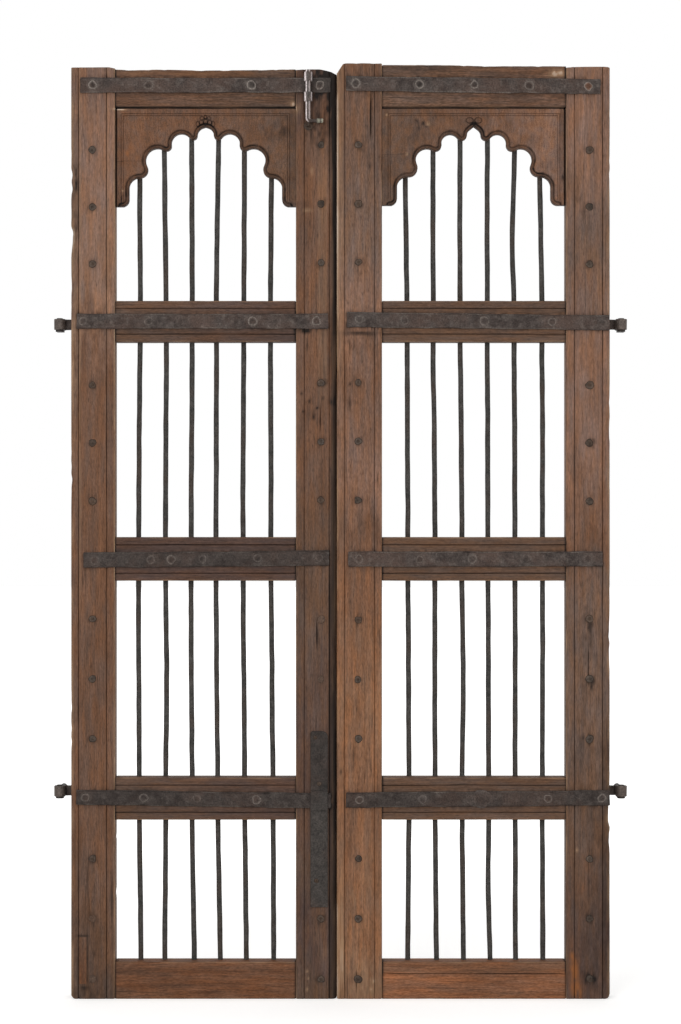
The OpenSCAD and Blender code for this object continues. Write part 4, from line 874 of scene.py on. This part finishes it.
def flatBar(x0, x1, wide, thick, seed, wavy, grime=0.0):
    # a forged flat along +X, centred on z = 0, its back on y = 0
    length = x1 - x0
    a = forged["arris"]
    rows = np.linspace(forged["endIn"], length - forged["endIn"], int(length / forged["step"]))
    l = np.concatenate([[0, forged["lip"]], rows, [length - forged["lip"], length]])
    ring = []  # z, y and whether it is an arris
    for cz, cy, start in ((1, -a, 0), (1, a - thick, 0.5), (-1, a - thick, 1.0), (-1, -a, 1.5)):
        for k in range(4):
            angle = math.pi / 2 - (start + k / 6) * math.pi
            ring.append((cz * (wide / 2 - a) + a * math.sin(angle), cy + a * math.cos(angle), 1))
        if start == 0.5:
            count = forged["faceSteps"]
            ring += [(wide / 2 - a - (wide - 2 * a) * k / count, -thick, 0) for k in range(1, count)]
    z, y, edge = np.array(ring).T
    ends = np.ones_like(l)
    ends[[0, -1]] = 1 - 2 * a / wide
    zz = z[None] * ends[:, None]
    yy = y[None] + 0 * zz
    ll = l[:, None] + 0 * zz
    wave = hills(ll / 0.045, np.sign(zz) * 3, 0, seed) + 0.5 * hills(ll / 0.016, np.sign(zz) * 3, 0, seed + 1)
    zz = zz + wavy * wave * np.abs(zz) / (wide / 2)
    outer = yy < -thick / 2
    yy = yy + outer * 0.0004 * hills(ll / 0.03, zz / 0.012, 0, seed + 2)
    ll = ll + 0.0008 * hills(zz / 0.01, ll / 0.5, 0, seed + 3) * (np.minimum(ll, length - ll) < 0.002)
    rubAndHighlight = edge[None] * outer * np.clip(0.2 + 0.5 * hills(ll / 0.03, zz / 0.02, 0, seed + 4), 0, 0.5)
    rubAndHighlight = rubAndHighlight + 0.4 * np.clip(hills(ll / 0.006, zz / 0.006, 0, seed + 5) - 0.4, 0, 1) * outer  # hammer marks
    paint = np.stack([rubAndHighlight, 0 * rubAndHighlight + grime, 0 * rubAndHighlight], -1)
    return np.stack([ll + x0, yy, zz], -1), paint, tubeFaces(len(l), len(z))


for side in sides:
    for number, (order, tilt) in enumerate(zip(strapOrder, strapTilt[side])):
        node = "%s_%s_strap" % (side, order)
        title = side + order.capitalize() + "Strap"
        lo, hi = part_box(node)
        turn = math.radians(tilt) * mirror[side]
        length = ((hi.x - lo.x) - forged["wide"] * abs(math.sin(turn))) / math.cos(turn)
        seed = 500 + 7 * number + (60 if side == "right" else 0)
        p, paint, faces = flatBar(-length / 2, length / 2, forged["wide"], forged["thick"], seed,
                                  forged["wavy"], strapGrime.get(title, 0.0))
        x = p[..., 0] * math.cos(turn) - p[..., 2] * math.sin(turn)
        z = p[..., 0] * math.sin(turn) + p[..., 2] * math.cos(turn)
        p = np.stack([x + (lo.x + hi.x) / 2, p[..., 1] + hi.y, z + (lo.z + hi.z) / 2], -1)
        for nx, nz in (nail[:2] for nail in strapNails[side]):
            off = np.hypot(p[..., 0] - nx, p[..., 2] - nz)
            lump = np.clip(0.5 + 0.9 * hills(p[..., 0] / 0.006, p[..., 2] / 0.006, 0, seed + 6), 0, 1)
            pale = nailRing["top"] if nz > topLight else nailRing["lower"]
            paint[..., 0] += pale * lump * np.exp(-((off - nailRing["radius"]) / nailRing["reach"]) ** 2)
        if title == "leftTopStrap":
            behind = np.clip((p[..., 0] - boltGrime["from"]) / boltGrime["over"], 0, 1)
            paint[..., 1] += boltGrime["soot"] * behind
        landPiece(title, p.reshape(-1, 3), faces, strapIron, node, paint.reshape(-1, 3))
print("gate: straps forged")

# forged nail heads: low uneven domes, beaten almost flush; each ring is its share of the radius and the rise
heads = {"around": 18, "stileRise": 0.0018, "strapRise": 0.0012, "strapWide": 1.18, "hingeWide": 0.95,
         "rings": ((1.0, 0.0), (1.0, 0.25), (0.93, 0.55), (0.74, 0.80), (0.5, 0.94), (0.24, 1.0)),
         # each ring: rubbed wear and painted highlight, soot and painted shade, odd tint
         "paint": {  # rubbed, soot, odd, for each ring
             # stile heads: a painted shadow ring round the rim and faint painted highlights inside
             "stile": ((0, 0.8, 0), (0, 0.6, 0), (0, 0.3, 0), (0.12, 0.1, 0), (0.08, 0.1, 0), (0, 0.3, 0)),
             # strap heads: a painted highlight ring just inside the rim, darker at the rim and in the middle
             "strap": ((0, 0.5, 0), (0.3, 0.2, 0), (0.85, 0, 0), (0.4, 0.1, 0), (0, 0.3, 0), (0, 0.45, 0))},
         "sizeVary": 0.2, "lumpVary": 0.2, "liftVary": 0.12, "faint": (0.1, 0.1, 0.1), "slip": 0.004,
         "copper": 0.22, "copperX": 0.55}


def nailHeads(name, node, seat, material, scale=1.0, tall=None, facing=-1, look="stile"):
    verts, faces, paint = [], [], []
    for number, (x, z, radius, low, high) in enumerate(headCentres(node)):
        faint, bold = look == "stile" and isFaint(x, z), 1.0 if z > topLight else 0.5
        coppery = x > heads["copperX"] and z > topLight  # one bare head
        rise = tall or (seat - low if facing < 0 else high - seat)
        first = len(verts)
        seed = 700 + number * 5 + sum(map(ord, name))
        size, slipX, slipZ, worn = [float(hills(number * 0.7, 0.5, 0.5, seed + k)) for k in range(2, 6)]
        for (share, height), (rubAndHighlight, soot, odd) in zip(heads["rings"], heads["paint"][look]):
            rubAndHighlight = rubAndHighlight * (1 + 1.4 * worn)
            if look == "strap":
                rubAndHighlight, soot = rubAndHighlight * bold, soot * bold
                odd = heads["copper"] if coppery and share < 0.8 else 0
            slip = heads["slip"] * (1 - share)
            for k in range(heads["around"]):
                cos, sin = ray(k * 2 * math.pi / heads["around"])
                lump = heads["lumpVary"] * hills(1.3 * cos + 5, 1.3 * sin + 5, 0, seed)
                r = radius * scale * share * (1 + (heads["sizeVary"] * size + lump))
                beaten = hills(r * 300 * cos + 9, r * 300 * sin + 9, 0, seed + 1)
                lift = rise * height * (1 + heads["liftVary"] * beaten)
                verts.append((x + r * cos + slip * slipX, seat + facing * lift, z + r * sin + slip * slipZ))
                paint.append(heads["faint"] if faint else (rubAndHighlight, soot, odd))
        faces += tubeFaces(len(heads["rings"]), heads["around"], first)
    landPiece(name, verts, faces, material, node, np.array(paint), crease=60)


# hinges: a forged strap on the back and its end rolled into an eye
eye = {"outer": 0.013, "inner": 0.007, "tall": 0.025, "around": 32, "thick": 0.006, "lip": 0.0012,
       "inset": 0.0015, "bore": 0.001, "strapFrom": 0.0078, "strapTrim": 0.002, "wavy": 0.0006,
       "lump": 0.0005, "lumpFrom": 0.009, "lift": 0.00025, "brightFrom": 0.012}

for side in sides:
    nailHeads(side + "StileNails", side + "_stile_nails", frontY, nailIron, tall=heads["stileRise"])
    nailHeads(side + "StrapNails", side + "_strap_nails", frontY - forged["thick"], strapIron,
              scale=heads["strapWide"], tall=heads["strapRise"], look="strap")
    nailHeads(side + "HingeNails", side + "_hinge_nails", backY + eye["thick"], nailIron,
              scale=heads["hingeWide"], facing=1)
print("gate: nails driven")

# pieces taken from the CAD: edges over this angle are eased, points this near the front can stand proud
eased = {"angle": 35, "lump": 0.012, "faceDeep": 0.004}


# a solid from the CAD with its edges eased, for small forged and cut pieces
def easedCopy(name, node, material, ease, uneven=0.0, proud=0.0, shade=None):
    mesh = frame["nodes"][node].data.copy()
    mesh.name = name
    bm = bmesh.new()
    bm.from_mesh(mesh)
    bmesh.ops.remove_doubles(bm, verts=bm.verts, dist=1e-5)
    bmesh.ops.dissolve_limit(bm, angle_limit=math.radians(1), verts=bm.verts, edges=bm.edges)
    sharp = [e for e in bm.edges
             if len(e.link_faces) == 2 and e.calc_face_angle() > math.radians(eased["angle"])]
    bmesh.ops.bevel(bm, geom=sharp, offset=ease, segments=2, profile=0.6, affect="EDGES", clamp_overlap=True)
    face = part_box(node)[0].y + eased["faceDeep"]
    for v in bm.verts:
        lift = [float(hills(*(v.co / eased["lump"]), 900 + k)) for k in range(3)]
        v.co += Vector(lift) * uneven
        v.co.y -= proud * (v.co.y < face)
    bm.to_mesh(mesh)
    bm.free()
    paint = np.array([shade(v.co) for v in mesh.vertices]) if shade else None
    hangPiece(name, mesh, material, node, paint)


for side in sides:
    for order in ("lower", "upper"):
        node = "%s_%s_hinge" % (side, order)
        lo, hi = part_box(node)
        axisX = lo.x + eye["outer"] if side == "left" else hi.x - eye["outer"]
        midZ = (lo.z + hi.z) / 2
        seed = 600 + 3 * len(node) + (30 if side == "right" else 0)
        strapWide = eye["tall"] - eye["strapTrim"]
        p, paint, faces = flatBar(eye["strapFrom"], hi.x - lo.x - eye["outer"], strapWide, eye["thick"], seed,
                                  eye["wavy"])
        strap = np.stack([axisX + mirror[side] * p[..., 0], backY - p[..., 1], midZ + p[..., 2]], -1)
        verts = strap.reshape(-1, 3).tolist()
        shades = paint.reshape(-1, 3).tolist()
        loop = []
        outer, inner = eye["outer"] - eye["inset"], eye["inner"] + eye["bore"]
        for cr, cz, start in ((outer, 1, 0), (inner, 1, 90), (inner, -1, 180), (outer, -1, 270)):
            for k in range(4):
                c, s = ray(math.radians(start + 30 * k)) * eye["lip"]
                loop.append((cr + c, cz * (eye["tall"] / 2 - eye["inset"]) + s))
        first = len(verts)
        for k in range(eye["around"]):
            c, s = ray(k * 2 * math.pi / eye["around"])
            lump = [4 + 2 * c, 4 + 2 * s]
            for r, h in loop:
                if r > eye["lumpFrom"]:
                    r = r + eye["lump"] * float(hills(*lump, h / 0.01, seed + 5))
                h = h + eye["lift"] * float(hills(*lump, 0, seed + 6))  # stays clear of its collar
                verts.append((axisX + r * c, r * s, midZ + h))
                shades.append((0.3 if r > eye["brightFrom"] else 0, 0, 0))
        count = len(loop)
        faces += tubeFaces(eye["around"], count, first, False)
        last = first + (eye["around"] - 1) * count
        faces += [(last + k, last + (k + 1) % count, first + (k + 1) % count, first + k)
                  for k in range(count)]
        title = side + order.capitalize()
        landPiece(title + "Hinge", verts, faces, strapIron, node, np.array(shades))
        easedCopy(title + "Pintle", "%s_%s_pintle" % (side, order), plateIron,
                  ease=0.0012, uneven=0.0002)
print("gate: hinges hung")

# let-in patch: redder wood than the stile round it
patch = {"ease": 0.0006, "proud": 0.0006, "streak": 0.16, "tones": ("umber", "brown")}
patchTones = [(end.z, tone) for end, tone in zip(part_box("stile_patch"), patch["tones"])]
patchTeak = teakMaterial("teakStilePatch", 2, patchTones, 151, patch["streak"])
easedCopy("stilePatch", "stile_patch", patchTeak, ease=patch["ease"], proud=patch["proud"])

# long plate: thin black iron, cranked over the strap, greasy above it and drier below
plate = {"thick": 0.004, "ease": 0.001, "uneven": 0.0003, "above": (0, 0.2, 0), "below": (0.08, 0, 0)}
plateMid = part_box("left_lower_strap")[0].z
easedCopy("longPlate", "long_plate", plateIron, ease=plate["ease"], uneven=plate["uneven"],
          shade=lambda co: plate["above"] if co.z > plateMid else plate["below"])
nailHeads("plateNails", "plate_nails", frontY - plate["thick"], nailIron)

# sliding bolt: a rod bent at its foot into a handle with a knob, in two rings, on a stop nail
bolt = {"rod": 0.006, "arm": 0.004, "bend": 0.006, "around": 20, "worn": 0.003, "shaftTop": 0.011,
        "shaftFoot": 0.022, "taper": 0.0018, "armFrom": 0.010, "armTo": 0.018, "ringHalf": 0.0085,
        # painted highlights down the rod's sides and painted shade down its face
        "leftRub": 0.95, "rightRub": 0.35, "faceSoot": 0.75}
knob = ((0.0165, 0.0043), (0.0155, 0.0053), (0.012, 0.0055), (0.009, 0.0048), (0.007, 0.0046),
        (0.005, 0.0052), (0.002, 0.0051), (0.0006, 0.0036), (0.0002, 0.001))  # distance from the tip, radius
crown = ((0.0002, 0.0012), (0.0005, 0.0042), (0.002, 0.0056), (0.004, 0.006))  # distance from the top, radius
tipPale = ((0.003, 0.7), (0.0085, 0.1), (0.0125, 0.4))  # out to this distance from the tip, how pale
lo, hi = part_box("bolt_rod")
rodX, rodY, armEnd = lo.x + bolt["rod"], lo.y + bolt["rod"], hi.x
armZ = lo.z + bolt["rod"]
trail = [((rodX, hi.z - bolt["worn"] - d), r) for d, r in crown]
for z in np.linspace(hi.z - bolt["shaftTop"], lo.z + bolt["shaftFoot"], 24):
    trail.append(((rodX, z), bolt["rod"] * (1 + 0.025 * float(hills(z / 0.014, 0, 0, 820)))))
for k in range(1, 8):
    c, s = ray(k * math.pi / 14)
    corner = (rodX + bolt["bend"] * (1 - c), armZ + bolt["bend"] * (1 - s))
    trail.append((corner, bolt["rod"] - bolt["taper"] * k / 7))
trail += [((x, armZ), bolt["arm"])
          for x in np.linspace(rodX + bolt["armFrom"], armEnd - bolt["armTo"], 4)]
trail += [((armEnd - d, armZ), r) for d, r in knob]
spots = np.array([t[0] for t in trail])
ways = np.gradient(spots, axis=0)
ways /= np.linalg.norm(ways, axis=1)[:, None]
verts, shades = [], []
for (x, z), (dx, dz), (_, r) in zip(spots, ways, trail):
    pale = next((shade for reach, shade in tipPale if armEnd - x < reach), 0)
    for k in range(bolt["around"]):
        c, s = ray(k * 2 * math.pi / bolt["around"])
        verts.append((x + r * c * -dz, rodY + r * s, z + r * c * dx))
        left = -c * abs(dz)  # painted highlights down both sides of the rod and painted shade down its face; the arm stays dark
        rubAndHighlight = bolt["leftRub"] if left > 0.4 else bolt["rightRub"] if -0.75 < left < -0.25 else 0.0
        shades.append((rubAndHighlight, bolt["faceSoot"] * (-0.2 < left < 0.35), pale))
faces = tubeFaces(len(trail), bolt["around"])
landPiece("boltRod", verts, faces, boltSteel, "bolt_rod", np.array(shades), crease=50)


def ringShade(co):  # painted highlights on both sides of each ring and painted shade across its face
    aside = (co.x - rodX) / bolt["ringHalf"]
    return (0.9 if aside < -0.55 else 0.55 if aside > 0.75 else 0, 0.35 * (abs(aside) < 0.4), 0)


easedCopy("boltStaples", "bolt_staples", boltSteel, ease=0.0009, uneven=0.0002,
          shade=ringShade)
easedCopy("boltStop", "bolt_stop", nailIron, ease=0.0008, uneven=0.0002)
print("gate: bolt fitted")
